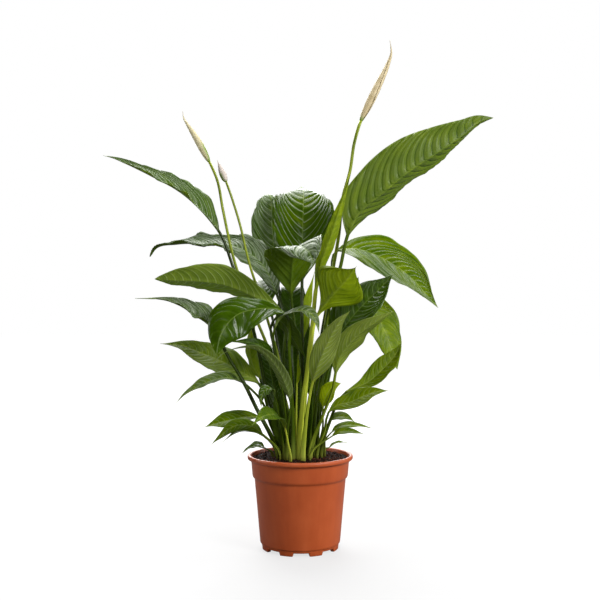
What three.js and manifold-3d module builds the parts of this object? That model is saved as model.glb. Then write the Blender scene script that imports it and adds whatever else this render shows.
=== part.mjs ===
// A potted peace lily: a plastic nursery pot, potting soil, a clump of long-stalked leaves and
// three flower stalks whose spathes are still rolled. Millimetres, +Z up, origin on the surface
// that the pot stands on, under the pot's axis. -Y is the plant's front.
import * as THREE from "three";
import { mergeVertices } from "three/addons/utils/BufferGeometryUtils.js";
import Module from "manifold-3d";

// ---------- driving dimensions ----------
const POT_HEIGHT = 149.5;
const POT_RIM_RADIUS = 85; // outside of the rolled rim
const POT_WALL = 1.5;
const POT_FLOOR_Z = 6.5; // underside of the floor, which the feet lift off the surface
const FOOT_COUNT = 8;
const SOIL_TOP = 146;
const FIT_GAP = 0.4; // between the soil and the pot
const ROOT_DEPTH = 14; // how deep each stalk stands in its hole
const HOLE_GAP = 0.5; // between a stalk and the side of its hole
const UPRIGHT = 6; // a stalk stands upright this far above the soil
const BLADE_THICKNESS = 0.9;

// A place on a stalk or a leaf is written as it looks from the front: [across, depth, height].
// Across and height are millimetres on the upright plane through the pot's axis, seen by an eye at
// EYE_HEIGHT and EYE_DISTANCE in front of that plane, and depth is how far behind it the place is.
const EYE_DISTANCE = 1487;
const EYE_HEIGHT = 400;

// ---------- solids ----------
const wasm = await Module();
wasm.setup();

function toSolid(geometry) {
  const bare = geometry.index ? geometry.toNonIndexed() : geometry.clone();
  bare.deleteAttribute("normal");
  bare.deleteAttribute("uv");
  const merged = mergeVertices(bare, 1e-4);
  const index = Array.from(merged.index.array);
  const triangles = [];
  for (let i = 0; i < index.length; i += 3) {
    const [a, b, c] = index.slice(i, i + 3);
    if (a !== b && b !== c && c !== a) triangles.push(a, b, c);
  }
  return new wasm.Manifold(
    new wasm.Mesh({
      numProp: 3,
      vertProperties: new Float32Array(merged.attributes.position.array),
      triVerts: new Uint32Array(triangles),
    }),
  );
}

function toGeometry(solid) {
  const mesh = solid.getMesh();
  return new THREE.BufferGeometry()
    .setAttribute("position", new THREE.BufferAttribute(mesh.vertProperties, 3))
    .setIndex(new THREE.BufferAttribute(mesh.triVerts, 1));
}

// A full turn of [radius, height] points about +Z.
function turned(profile, sides) {
  const points = profile.map(([radius, height]) => new THREE.Vector2(radius, height));
  return new THREE.LatheGeometry(points, sides).rotateX(Math.PI / 2);
}

// ---------- pot ----------
const POT_SIDES = 36;
const WALL_FOOT_RADIUS = 64.4;
const FLOOR_TOP_Z = 8.2;
const FOOT_RADIUS = 61.8; // at the foot's lower edge
const FOOT_DEPTH = 6; // along the radius
const NOTCH_TOP_Z = 5.2; // the gap between two feet reaches up to here
const NOTCH_WIDTH_LOW = 29;
const NOTCH_WIDTH_HIGH = 24.5;
const FOOT_TURN = THREE.MathUtils.degToRad(1.5); // the pot stands turned this much
const DRAIN_RADIUS = 4;
const DRAIN_RING_RADIUS = 46;

// The inside of the wall, from the floor up to the rim.
const INSIDE = [
  [62.9 - POT_WALL, FLOOR_TOP_Z],
  [WALL_FOOT_RADIUS - POT_WALL, 11],
  [73.6 - POT_WALL, 112.6],
  [77.1 - POT_WALL, 118],
  [78.9 - POT_WALL, 139.5],
  [79.2, 146.8],
];

const OUTSIDE = [
  [62.6, POT_FLOOR_Z],
  [62.9, 8.2],
  [WALL_FOOT_RADIUS, 9.6],
  [73.6, 111.5],
  [76.6, 114.6],
  [78.9, 139.5],
  [79.8, 142],
  [84, 142.4],
  [POT_RIM_RADIUS, 144.4],
  [POT_RIM_RADIUS, 147.2],
  [83.4, POT_HEIGHT],
  [80.8, POT_HEIGHT],
];

// The gap between two feet: a trapezium, wider at the bottom, that runs out along the radius.
function notch(turn) {
  const low = NOTCH_WIDTH_LOW / 2;
  const high = NOTCH_WIDTH_HIGH / 2;
  const shape = new THREE.Shape([
    new THREE.Vector2(-low, -1),
    new THREE.Vector2(low, -1),
    new THREE.Vector2(high, NOTCH_TOP_Z),
    new THREE.Vector2(-high, NOTCH_TOP_Z),
  ]);
  const bar = new THREE.ExtrudeGeometry(shape, { depth: 40, bevelEnabled: false });
  return toSolid(bar.rotateX(Math.PI / 2).rotateZ(Math.PI).translate(0, 40, 0).rotateZ(turn));
}

function drain(radius, turn) {
  const hole = new THREE.CylinderGeometry(DRAIN_RADIUS, DRAIN_RADIUS, 8, 10);
  return toSolid(hole.rotateX(Math.PI / 2).translate(0, radius, POT_FLOOR_Z).rotateZ(turn));
}

function makePot() {
  const wall = [[0, POT_FLOOR_Z], ...OUTSIDE, ...INSIDE.toReversed(), [0, FLOOR_TOP_Z]];
  const skirt = [
    [FOOT_RADIUS - FOOT_DEPTH, 0],
    [FOOT_RADIUS, 0],
    [62.6, POT_FLOOR_Z + 0.5],
    [FOOT_RADIUS - FOOT_DEPTH, POT_FLOOR_Z + 0.5],
    [FOOT_RADIUS - FOOT_DEPTH, 0],
  ];
  let pot = toSolid(turned(wall, POT_SIDES)).add(toSolid(turned(skirt, POT_SIDES)));
  const step = (2 * Math.PI) / FOOT_COUNT;
  for (let i = 0; i < FOOT_COUNT; i++) {
    pot = pot.subtract(notch(i * step + FOOT_TURN));
    pot = pot.subtract(drain(DRAIN_RING_RADIUS, (i + 0.5) * step + FOOT_TURN));
  }
  return toGeometry(pot.subtract(drain(0, 0)));
}

// ---------- curves ----------
// Puts a place that is written as it looks from the front at its own depth.
function seen([across, depth, height]) {
  const scale = (EYE_DISTANCE + depth) / EYE_DISTANCE;
  return new THREE.Vector3(across * scale, depth, EYE_HEIGHT + (height - EYE_HEIGHT) * scale);
}

// A smooth curve through the points, as a line with CURVE_STEPS pieces between two of them. The
// slope at a point leans to its nearer neighbour.
const CURVE_STEPS = 16;

function smoothLine(points) {
  const last = points.length - 1;
  const gap = points.slice(1).map((point, i) => point.distanceTo(points[i]));
  const chord = gap.map((length, i) => points[i + 1].clone().sub(points[i]).divideScalar(length));
  const slope = points.map((_, i) => {
    if (i === 0) return chord[0];
    if (i === last) return chord[last - 1];
    return chord[i - 1].clone().lerp(chord[i], gap[i - 1] / (gap[i - 1] + gap[i]));
  });
  const line = [points[0].clone()];
  for (let i = 0; i < last; i++) {
    for (let k = 1; k <= CURVE_STEPS; k++) {
      const t = k / CURVE_STEPS;
      const rest = 1 - t;
      line.push(
        new THREE.Vector3()
          .addScaledVector(points[i], (1 + 2 * t) * rest * rest)
          .addScaledVector(slope[i], gap[i] * t * rest * rest)
          .addScaledVector(points[i + 1], t * t * (3 - 2 * t))
          .addScaledVector(slope[i + 1], -gap[i] * t * t * rest),
      );
    }
  }
  return line;
}

// The curve of one stalk with what it carries: up out of the soil, through the stem's places and
// on through the blade's or spathe's. at(distance) gives the point and the tangent there, and neck
// is the distance at which the stem ends.
function stalkCurve({ root, stem, blade }) {
  const [x, y] = root;
  const points = [
    new THREE.Vector3(x, y, SOIL_TOP - ROOT_DEPTH),
    new THREE.Vector3(x, y, SOIL_TOP + UPRIGHT),
    ...stem.map(seen),
    ...blade.map(seen),
  ];
  const line = smoothLine(points);
  const reach = [0];
  for (let i = 1; i < line.length; i++) reach.push(reach[i - 1] + line[i].distanceTo(line[i - 1]));
  const at = (distance) => {
    let i = 1;
    while (i < line.length - 1 && reach[i] < distance) i++;
    const share = (distance - reach[i - 1]) / (reach[i] - reach[i - 1]);
    const before = line[Math.max(i - 2, 0)];
    const after = line[Math.min(i + 1, line.length - 1)];
    return {
      point: line[i - 1].clone().lerp(line[i], share),
      tangent: after.clone().sub(before).normalize(),
    };
  };
  const tip = points[points.length - 1];
  const lean = new THREE.Vector3(tip.x - x, tip.y - y, 0).normalize();
  return {
    at,
    length: reach[reach.length - 1],
    neck: reach[(1 + stem.length) * CURVE_STEPS],
    level: lean.cross(new THREE.Vector3(0, 0, 1)), // across the lean and level
  };
}

// ---------- skins ----------
// The frame of a cross-section: side runs across the blade, top points out of its upper face.
function sectionFrame({ point, tangent }, level, roll) {
  const side = level.clone().addScaledVector(tangent, -level.dot(tangent)).normalize();
  side.applyAxisAngle(tangent, THREE.MathUtils.degToRad(roll));
  return { point, side, top: side.clone().cross(tangent).normalize() };
}

// Points round a stalk: the upper half from left to right, then the lower half back again.
function roundRing({ point, side, top }, radius, columns) {
  return Array.from({ length: 2 * columns }, (_, k) => {
    const turn = Math.PI * (1 - (k + 0.5) / columns);
    return point
      .clone()
      .addScaledVector(side, radius * Math.cos(turn))
      .addScaledVector(top, radius * Math.sin(turn));
  });
}

// A closed skin over a row of such rings. Both faces of a blade are split along the same
// diagonals, so a thin waved blade never cuts through itself.
function skinned(rings, columns) {
  const around = 2 * columns;
  const faces = [];
  const quad = (a, b, c, d) => faces.push(a, b, c, a, c, d);
  for (let i = 0; i + 1 < rings.length; i++) {
    const here = i * around;
    const next = here + around;
    for (let k = 0; k + 1 < columns; k++) {
      const under = around - 1 - k;
      quad(here + k, here + k + 1, next + k + 1, next + k);
      faces.push(here + under, next + under - 1, here + under - 1);
      faces.push(here + under, next + under, next + under - 1);
    }
    quad(here + columns - 1, here + columns, next + columns, next + columns - 1);
    quad(here, next, next + around - 1, here + around - 1);
  }
  const end = (rings.length - 1) * around;
  for (let k = 0; k + 1 < columns; k++) {
    quad(k, around - 1 - k, around - 2 - k, k + 1);
    quad(end + k, end + k + 1, end + around - 2 - k, end + around - 1 - k);
  }
  const positions = rings.flat().flatMap((point) => point.toArray());
  return new THREE.BufferGeometry()
    .setAttribute("position", new THREE.Float32BufferAttribute(positions, 3))
    .setIndex(faces);
}

// ---------- stalks ----------
const STALK_PIECE = 72; // length of one straight piece of a stalk

// Rings from the root up to where the stem ends. The first two stand upright in the soil's hole.
function stemRings(plant, curve, end, columns) {
  const start = ROOT_DEPTH + UPRIGHT;
  const pieces = Math.max(2, Math.round((end - start) / STALK_PIECE));
  const rings = [];
  for (let i = -1; i <= pieces; i++) {
    const share = Math.max(0, i / pieces);
    const distance = i < 0 ? 0 : start + share * (end - start);
    const radius = plant.stalk + (plant.foot - plant.stalk) * (1 - share) ** 1.6;
    const frame = sectionFrame(curve.at(distance), curve.level, plant.roll);
    rings.push(roundRing(frame, radius, columns));
  }
  return rings;
}

// The hole that a stalk stands in: the same outline, HOLE_GAP wider, up to just above the soil.
function holeFor(plant) {
  const curve = stalkCurve(plant);
  const [foot, mouth] = [0, ROOT_DEPTH + UPRIGHT].map((distance) => {
    const frame = sectionFrame(curve.at(distance), curve.level, plant.roll);
    return roundRing(frame, plant.foot + HOLE_GAP, plant.columns);
  });
  for (const point of foot) point.z -= HOLE_GAP;
  return toSolid(skinned([foot, mouth], plant.columns));
}

// ---------- leaves ----------
const BLADE_STATIONS = [0.03, 0.1, 0.2, 0.32, 0.45, 0.58, 0.7, 0.81, 0.91, 1];
const SMALL_STATIONS = [0.05, 0.18, 0.35, 0.54, 0.72, 0.88, 1];
const LEAST_HALF_WIDTH = 0.6;

// Half the blade's width as a share of its widest, at s from 0, the base, to 1, the tip.
function bladeOutline(s, { widest, base, taper }) {
  const turn = Math.sin(Math.PI * s ** (Math.log(0.5) / Math.log(widest)));
  return Math.max(0, turn) ** (s < widest ? base : taper);
}

// Points round a blade: its upper face from left to right, then its lower face back again.
function bladeRing({ point, side, top }, s, leaf) {
  const upper = [];
  const lower = [];
  const width = Math.max(LEAST_HALF_WIDTH, leaf.half * bladeOutline(s, leaf));
  const rib = leaf.stalk * (1 - s) ** 0.8 + 0.15;
  for (let k = 0; k < leaf.columns; k++) {
    const u = (2 * k) / (leaf.columns - 1) - 1;
    const out = Math.abs(u);
    const hand = Math.sign(u);
    const lift = out ? THREE.MathUtils.degToRad(leaf.fold + leaf.cup * out) : 0;
    const across = side.clone().multiplyScalar(Math.cos(lift) * (hand || 1));
    across.addScaledVector(top, Math.sin(lift));
    const normal = top.clone().multiplyScalar(Math.cos(lift));
    normal.addScaledVector(side, -hand * Math.sin(lift));
    const ripple = Math.sin(2 * Math.PI * (leaf.waves * s + leaf.phase + 0.2 * hand));
    const wave = leaf.wave * out ** 1.5 * (width / leaf.half) * ripple;
    const middle = point.clone().addScaledVector(across, width * out).addScaledVector(normal, wave);
    const under = BLADE_THICKNESS / 2 + (out ? 0 : rib);
    upper.push(middle.clone().addScaledVector(normal, BLADE_THICKNESS / 2));
    lower.unshift(middle.clone().addScaledVector(normal, -under));
  }
  return upper.concat(lower);
}

function makeLeaf(leaf) {
  const curve = stalkCurve(leaf);
  const rings = stemRings(leaf, curve, curve.neck, leaf.columns);
  const stations = leaf.columns > 3 ? BLADE_STATIONS : SMALL_STATIONS;
  for (const s of stations) {
    const place = curve.at(curve.neck + s * (curve.length - curve.neck));
    rings.push(bladeRing(sectionFrame(place, curve.level, leaf.roll + leaf.twist * s), s, leaf));
  }
  return skinned(rings, leaf.columns);
}

// ---------- blooms ----------
const SPATHE_GAP = 0.3; // between a stalk's end and the spathe
const SPATHE_STATIONS = [0, 0.1, 0.22, 0.36, 0.5, 0.63, 0.75, 0.86, 0.94, 1];

function spatheOutline(s) {
  return 0.38 * (1 - s) ** 2 + Math.max(0, Math.sin(Math.PI * s ** 0.7)) ** 1.1;
}

function makeFlowerStalk(bloom) {
  const curve = stalkCurve(bloom);
  return skinned(stemRings(bloom, curve, curve.neck, bloom.columns), bloom.columns);
}

function makeSpathe(bloom) {
  const curve = stalkCurve(bloom);
  const start = curve.neck + SPATHE_GAP;
  const rings = SPATHE_STATIONS.map((s) => {
    const place = curve.at(start + s * (curve.length - start));
    const radius = Math.max(0.5, bloom.half * spatheOutline(s));
    return roundRing(sectionFrame(place, curve.level, bloom.roll), radius, bloom.columns);
  });
  return skinned(rings, bloom.columns);
}

// ---------- soil ----------
const SOIL_RINGS = [70, 58, 46]; // radii of the rings of the lumpy top
const CROWN_RISE = 1.5; // the soil is heaped a little at the crown

function lump(x, y) {
  const coarse = Math.sin(x / 6.1 + 1.3) * Math.cos(y / 5.3 + 0.4);
  const fine = Math.sin(x / 2.3 - y / 3.1) * Math.cos(y / 2.7 + x / 4.3);
  return 1.1 * coarse + 0.7 * fine;
}

function makeSoil(plants) {
  const edge = INSIDE.slice(0, -1).map(([radius, height], i) => {
    return [radius - FIT_GAP, height + (i < 4 ? FIT_GAP : 0)];
  });
  const top = SOIL_RINGS.map((radius) => [radius, SOIL_TOP - 1 + CROWN_RISE * (1 - radius / 70)]);
  const profile = [
    [0, FLOOR_TOP_Z + FIT_GAP],
    ...edge,
    [76.4, 143],
    ...top,
    [0, SOIL_TOP + CROWN_RISE],
  ];
  const body = turned(profile, POT_SIDES);
  const place = body.attributes.position;
  for (let i = 0; i < place.count; i++) {
    const lumpy = place.getZ(i) > 143.5;
    if (lumpy) place.setZ(i, place.getZ(i) + lump(place.getX(i), place.getY(i)));
  }
  return toGeometry(plants.reduce((soil, plant) => soil.subtract(holeFor(plant)), toSolid(body)));
}

// ---------- the leaves ----------
const PLAIN_LEAF = {
  half: 30, // half the blade's width at its widest
  roll: 0, // turn of the blade about its midrib, in degrees
  twist: 0, // further turn by the tip
  fold: 12, // how far each half of the blade rises, in degrees
  cup: 0, // further rise at the edge
  wave: 1.5, // height of the ripples along the edge
  waves: 2.5,
  widest: 0.4, // share of the blade's length at which it is widest
  base: 0.85, // higher is more drawn out at the stalk
  taper: 1.5, // above 1 draws the blade out into a long tip
  stalk: 2.2, // radius of the stalk where the blade starts
  foot: 3.3, // radius of the stalk at the soil
  columns: 5, // points across the blade
};
const SMALL_LEAF = { ...PLAIN_LEAF, wave: 0.6, stalk: 1.3, foot: 2.2, columns: 3, half: 10 };

const leaves = [];

// root is where the stalk stands, [x, y]. stem and blade are places along the midrib, and the
// stem's last one is where the blade starts.
function leaf(name, root, stem, blade, form) {
  const phase = (0.37 * leaves.length) % 1;
  leaves.push({ ...PLAIN_LEAF, phase, name, root, stem, blade, ...form });
}

function smallLeaf(name, root, stem, blade, form) {
  leaf(name, root, stem, blade, { ...SMALL_LEAF, ...form });
}

// tall leaves
leaf("leaf_top_right", [16, 7],
  [[34, -4, 300], [50, -6, 400], [65, -6, 452], [76, -6, 501]],
  [[90, -5, 533], [134, -1, 573], [179, 4, 609], [224, 11, 638], [267, 19, 668], [288, 25, 685],
    [312, 30, 693]],
  { half: 53, roll: -59, twist: 12, fold: 33, widest: 0.42, taper: 0.92, stalk: 2.8,
    foot: 3.7, waves: 3, base: 0.65 });
leaf("leaf_top_left", [-21, 15],
  [[-42, 12, 210], [-56, 15, 257], [-68, 15, 320], [-108, 9, 450], [-131, 8, 509]],
  [[-152, 8, 536], [-190, 9, 571], [-238, 10, 598], [-284, 11, 620], [-303, 11, 628],
    [-318, 11, 632]],
  { half: 31, roll: -24, fold: 24, widest: 0.27, taper: 1, wave: 2, waves: 3, stalk: 2.4, foot: 3.5 });
leaf("leaf_left_glossy", [-14, 24],
  [[-17, 28, 300], [-37, 52, 405]],
  [[-66, 68, 461], [-100, 78, 483], [-145, 90, 489], [-200, 96, 488.5], [-232, 98, 482],
    [-243, 98, 468]],
  { half: 35, roll: -46, twist: 44, fold: 14, widest: 0.38, taper: 0.6, wave: 3, waves: 3.5 });
leaf("leaf_left_wide", [-23, 5],
  [[-27, -6, 300], [-30, -5, 380]],
  [[-75, -20, 405], [-100, -26, 416], [-124, -29, 424], [-150, -30, 428], [-188, -30, 430],
    [-212, -28, 430.5], [-235, -26, 432.3]],
  { half: 33, roll: 42, fold: 18, twist: 0, taper: 0.82, widest: 0.54, base: 1 });
leaf("leaf_back_left", [-7, 34],
  [[-16, 44, 300], [-40, 92, 455]],
  [[-44, 104, 495], [-46, 120, 546], [-50, 140, 569], [-58, 162, 560], [-67, 182, 526]],
  { half: 37, fold: -4, cup: -26, widest: 0.36, taper: 1.7, wave: 3 });
leaf("leaf_back_top", [5, 31],
  [[3, 32, 300], [3, 44, 430]],
  [[3, 58, 490], [5, 76, 550], [5, 104, 576], [4, 136, 577], [3, 160, 577], [2, 174, 578],
    [2, 186, 582]],
  { half: 58, fold: -2, cup: -15, widest: 0.47, taper: 1.05, wave: 3, foot: 3.7, stalk: 2.6 });
leaf("leaf_centre_cup", [-4, -10],
  [[0, -22, 250], [-4, -20, 320], [-12, -20, 380], [-15, -22, 406]],
  [[-14, -30, 436], [-12, -42, 463], [-8, -60, 482], [2, -80, 485], [14, -92, 476], [22, -102, 457]],
  { half: 48, roll: 1, twist: 25, fold: 12, widest: 0.55, taper: 1, wave: 3 });
leaf("leaf_right_arch", [19, 22],
  [[32, 24, 300], [51, 34, 420], [60, 38, 478]],
  [[85, 38, 482], [118, 38, 473], [155, 37, 453], [187, 34, 427], [205, 30, 406], [223, 26, 386]],
  { half: 49, roll: 43, fold: 10, widest: 0.46, taper: 1.25, base: 0.42 });
leaf("leaf_young", [4, -1],
  [[13, -13, 300], [21, -15, 370], [25, -16, 412]],
  [[33, -17, 455], [51, -18, 505], [64, -18, 546], [79, -18, 590]],
  { half: 11, roll: -75, fold: 20, wave: 0.5, taper: 1, stalk: 3.3, foot: 3.5, base: 1.5, columns: 3 });
leaf("leaf_front_right_bright", [0, -27],
  [[5, -38, 240], [9, -39, 270], [17, -40, 320], [27, -42, 372]],
  [[38, -48, 388], [54, -56, 407.5], [72, -64, 428], [91, -72, 453]],
  { half: 47, roll: -65, fold: 24, taper: 2, stalk: 2.6, foot: 4.6, widest: 0.57, base: 2.2 });
leaf("leaf_right_dark", [21, -6],
  [[28, -17, 240], [42, -18, 300], [62, -19, 340]],
  [[84, -21, 371], [108, -23, 397], [131, -25, 419], [150, -26, 440]],
  { half: 40, roll: 50, fold: 8, taper: 1.2, widest: 0.46, base: 0.5 });
leaf("leaf_right_hidden", [27, 14],
  [[38, 6, 280], [54, 6, 335]],
  [[68, 7, 362], [80, 8, 388], [88, 8, 412], [94, 8, 436]],
  { half: 29, roll: 60, fold: 8, taper: 1.2, base: 0.5 });
leaf("leaf_right_drooping", [27, 27],
  [[44, 30, 280], [60, 38, 340], [74, 41, 380], [88, 42, 396]],
  [[104, 42, 396], [120, 42, 380], [136, 41, 350], [148, 39, 317], [157, 37, 286]],
  { half: 36, roll: 50, twist: 10, fold: 6, widest: 0.42, taper: 1, base: 0.8 });
leaf("leaf_right_grey", [16, -22],
  [[38, -35, 215], [53, -41, 255], [57, -43, 280]],
  [[63, -46, 304], [79, -50, 327], [100, -55, 348], [125, -59, 365], [150, -61, 380]],
  { half: 20, roll: -56, fold: 24, taper: 1.2, wave: 2, foot: 3 });
leaf("leaf_front_grey", [4, -38],
  [[8, -43, 190], [13, -48, 229], [20, -54, 266]],
  [[28, -66, 290], [45, -72, 330], [65, -78, 365], [81, -80, 381]],
  { half: 19, roll: -68, fold: 14, taper: 1.2, wave: 1.5, foot: 3.3 });
leaf("leaf_left_dark", [-11, -33],
  [[-12, -36, 190], [-15, -41, 260], [-18, -43, 318], [-23, -45, 374]],
  [[-32, -49, 382], [-52, -57, 385], [-74, -64, 383], [-97, -71, 377], [-116, -78, 362],
    [-129, -83, 340], [-135.5, -86, 308]],
  { half: 34, roll: -62, fold: -12, widest: 0.6, taper: 1.3, wave: 3, stalk: 2.6, foot: 3.9 });

// middle leaves on the left
leaf("leaf_left_folded", [-35, -11],
  [[-45, -32, 175], [-70, -34, 222], [-90, -34, 263], [-124, -31, 322], [-133, -30, 345]],
  [[-150, -29, 362], [-175, -28, 378], [-190, -27, 388], [-208, -26, 396], [-234, -24, 401],
    [-267, -24, 401]],
  { half: 25.5, roll: -35, fold: 35, wave: 2, waves: 3.5, widest: 0.22, taper: 2.3,
    stalk: 2.6, foot: 3.8 });
leaf("leaf_left_bright", [-30, 23],
  [[-50, 0, 215], [-66, -3, 262]],
  [[-100, 0, 285], [-130, 3, 301], [-160, 6, 313], [-192, 9, 325], [-226, 11, 328]],
  { half: 28, roll: -50, fold: 8, taper: 1.5, foot: 3, widest: 0.42, base: 1.3 });
leaf("leaf_left_arching", [-33, 13],
  [[-49, -10, 200], [-62, -14, 235], [-77, -19, 252], [-94, -24, 266]],
  [[-116, -30, 273], [-145, -32, 268], [-170, -33, 256], [-188, -33, 245], [-201, -33, 232]],
  { half: 13, roll: -30, fold: 20, stalk: 1.8, foot: 3.2, wave: 1 });
smallLeaf("leaf_left_edge_on", [-22, -35],
  [[-20, -50, 190], [-16, -56, 235]],
  [[-30, -60, 276], [-48, -64, 303], [-72, -68, 320], [-100, -70, 321], [-126, -71, 311],
    [-143, -72, 292]],
  { half: 12, roll: 48, twist: -36, widest: 0.3, foot: 2.8, taper: 2.2 });
smallLeaf("leaf_left_band", [-27, -5],
  [[-37, -10, 240], [-47, -20, 286]],
  [[-52, -30, 314], [-60, -38, 322], [-74, -46, 328], [-95, -52, 331], [-115, -56, 331]],
  { half: 13, roll: -50, foot: 3 });
smallLeaf("leaf_left_curled", [-26, -24],
  [[-34, -42, 200], [-40, -46, 240]],
  [[-48, -49, 255], [-58, -52, 251], [-63, -54, 238], [-63, -55, 224]],
  { half: 9, roll: -35, wave: 2, foot: 2.6 });
leaf("leaf_left_inner", [-33, 32],
  [[-38, 26, 210], [-60, 36, 268]],
  [[-74, 40, 292], [-80, 43, 322], [-78, 46, 352], [-70, 48, 378]],
  { half: 16, roll: 70, foot: 3.2, wave: 1 });
leaf("leaf_centre_drooping", [-17, -14],
  [[-28, -26, 250], [-43, -26, 325], [-47, -25, 356], [-39, -26, 370]],
  [[-25, -27, 361], [-15, -29, 345], [-4, -32, 326], [9, -35, 304]],
  { half: 20, roll: -71, fold: 4, stalk: 2, foot: 3, wave: 1, base: 0.7 });
smallLeaf("leaf_centre_arching", [-16, -24],
  [[-27, -38, 235], [-38, -50, 310], [-42, -57, 352]],
  [[-30, -61, 371], [-10, -65, 380], [12, -67, 380], [25, -69, 367], [31, -70, 343]],
  { half: 11, roll: 28, widest: 0.5, stalk: 1.5 });
smallLeaf("leaf_centre_young", [-6, -19],
  [[-6, -36, 220], [-5, -37, 262]],
  [[-4, -38, 280], [-4, -38, 296], [-3, -38, 310]],
  { half: 6, roll: -80, fold: 25 });
smallLeaf("leaf_inner_left", [-15, 6],
  [[-17, 7, 160]],
  [[-20, 7, 184], [-27, 6.5, 220], [-36, 6.5, 256]],
  { half: 11, roll: 80 });
smallLeaf("leaf_inner_front", [-27, -13],
  [[-29, -14, 160]],
  [[-31, -16, 182], [-36, -18, 212], [-43, -20, 246]],
  { half: 13, roll: 75 });
smallLeaf("leaf_inner_right", [9, -16],
  [[11, -19, 160]],
  [[13, -22, 184], [17, -25, 222], [22, -28, 258]],
  { half: 12, roll: 75 });
smallLeaf("leaf_inner_back", [2, 20],
  [[2, 20, 160]],
  [[2, 19, 184], [1, 19, 225], [-1, 19, 272]],
  { half: 13, roll: 88 });

// low leaves on the left
leaf("leaf_low_left", [-38, 1],
  [[-50, -14, 185], [-62, -14, 207]],
  [[-82, -16, 210], [-106, -18, 206], [-132, -20, 200], [-155, -22, 193]],
  { half: 18, roll: -35, foot: 2.8, stalk: 1.6, wave: 1, widest: 0.54 });
smallLeaf("leaf_low_front", [-15, -46],
  [[-20, -54, 168], [-24, -62, 190]],
  [[-32, -76, 206], [-42, -100, 213], [-55, -130, 212], [-67, -160, 206], [-78, -184, 196]],
  { half: 16, roll: -35, columns: 5 });
smallLeaf("leaf_low_narrow", [-31, -30],
  [[-60, -45, 181]],
  [[-74, -50, 192], [-94, -53, 197], [-112, -54, 192], [-128, -54, 179], [-145, -54, 164]],
  { half: 12, roll: -48, fold: 5 });
smallLeaf("leaf_low_dark", [-37, -20],
  [[-60, -31, 179]],
  [[-78, -31, 187], [-100, -30, 186], [-126, -29, 169]],
  { half: 7, roll: -20 });
smallLeaf("leaf_rim_left", [-47, 8],
  [[-58, 2, 160]],
  [[-62, 2, 164], [-72, 2, 166], [-84, 2, 162]],
  { half: 8, roll: -20, foot: 2, stalk: 1 });
smallLeaf("leaf_rim_tip", [-44, -5],
  [[-61, -13, 160]],
  [[-74, -13, 162], [-85, -13, 158], [-95, -13, 150]],
  { half: 6, roll: -20, foot: 2, stalk: 1 });

// middle and low leaves on the right
smallLeaf("leaf_centre_back_bright", [5, 41],
  [[4, 46, 280], [5, 48, 335]],
  [[11, 50, 375], [16, 52, 410], [23, 52, 444]],
  { half: 13, roll: -70, foot: 2.8 });
leaf("leaf_right_long", [33, -8],
  [[49, -14, 205], [62, -15, 235], [75, -16, 250]],
  [[108, -16, 265], [136, -15, 289], [154, -14, 310], [164, -14, 330]],
  { half: 19, roll: 55, fold: 17, taper: 1.2, foot: 3, widest: 0.55, base: 1.1 });
leaf("leaf_right_low", [26, -18],
  [[40, -29, 190], [46, -31, 217]],
  [[62, -34, 229], [82, -38, 234], [102, -41, 243], [122, -43, 250], [143, -44, 252]],
  { half: 18, roll: 50, foot: 2.8, stalk: 1.8, wave: 1, widest: 0.5 });
smallLeaf("leaf_right_small", [30, 5],
  [[37, -6, 195], [37, -12, 226]],
  [[44, -14, 246], [53, -14, 259], [66, -14, 264]],
  { half: 17, roll: 75, foot: 2.6, taper: 1.2 });
smallLeaf("leaf_low_right_arch", [39, 0],
  [[50, -3, 204]],
  [[62, -1, 210], [75, 0, 209], [89, 0, 201]],
  { half: 11, roll: 30, foot: 2.4, stalk: 1 });
smallLeaf("leaf_low_right_back", [34, 23],
  [[50, 16, 184]],
  [[66, 17, 195], [92, 17, 196], [118, 17, 191]],
  { half: 8, roll: 30, foot: 2.4, stalk: 1.1 });
smallLeaf("leaf_low_right_front", [15, -33],
  [[51, -38, 178]],
  [[62, -40, 185], [82, -42, 186], [104, -43, 182]],
  { half: 9, roll: 30, foot: 2.4, stalk: 1.1 });
smallLeaf("leaf_rim_right", [37, 33],
  [[46, 28, 160]],
  [[54, 28, 166], [65, 28, 169], [76, 28, 168]],
  { half: 4, roll: 20, foot: 2, stalk: 1 });

// leaves on the far side
leaf("leaf_far_left_low", [-15, 40],
  [[-32, 54, 190], [-38, 62, 222]],
  [[-46, 84, 272], [-54, 112, 308], [-62, 142, 322], [-70, 168, 312], [-76, 186, 288]],
  { half: 29, taper: 1.2, foot: 3 });
leaf("leaf_far_left_high", [-24, 36],
  [[-40, 66, 345], [-50, 82, 390]],
  [[-60, 106, 418], [-70, 134, 430], [-80, 162, 420], [-90, 182, 398]],
  { half: 24, taper: 1.2 });
leaf("leaf_far_middle", [-3, 50],
  [[-6, 58, 190], [-8, 64, 236]],
  [[-11, 80, 310], [-13, 104, 375], [-12, 134, 417], [-11, 164, 408], [-9, 186, 372]],
  { half: 31, taper: 1.1, foot: 3 });
leaf("leaf_far_right_low", [24, 40],
  [[26, 54, 190], [26, 62, 226]],
  [[28, 84, 276], [31, 110, 312], [33, 138, 326], [36, 166, 318], [40, 188, 294]],
  { half: 26, taper: 1.2, foot: 3 });
leaf("leaf_far_right_high", [14, 41],
  [[28, 54, 300], [40, 70, 375], [45, 80, 400]],
  [[53, 106, 425], [56, 134, 438], [57, 162, 430], [56, 184, 408]],
  { half: 19, taper: 1.2 });

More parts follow.
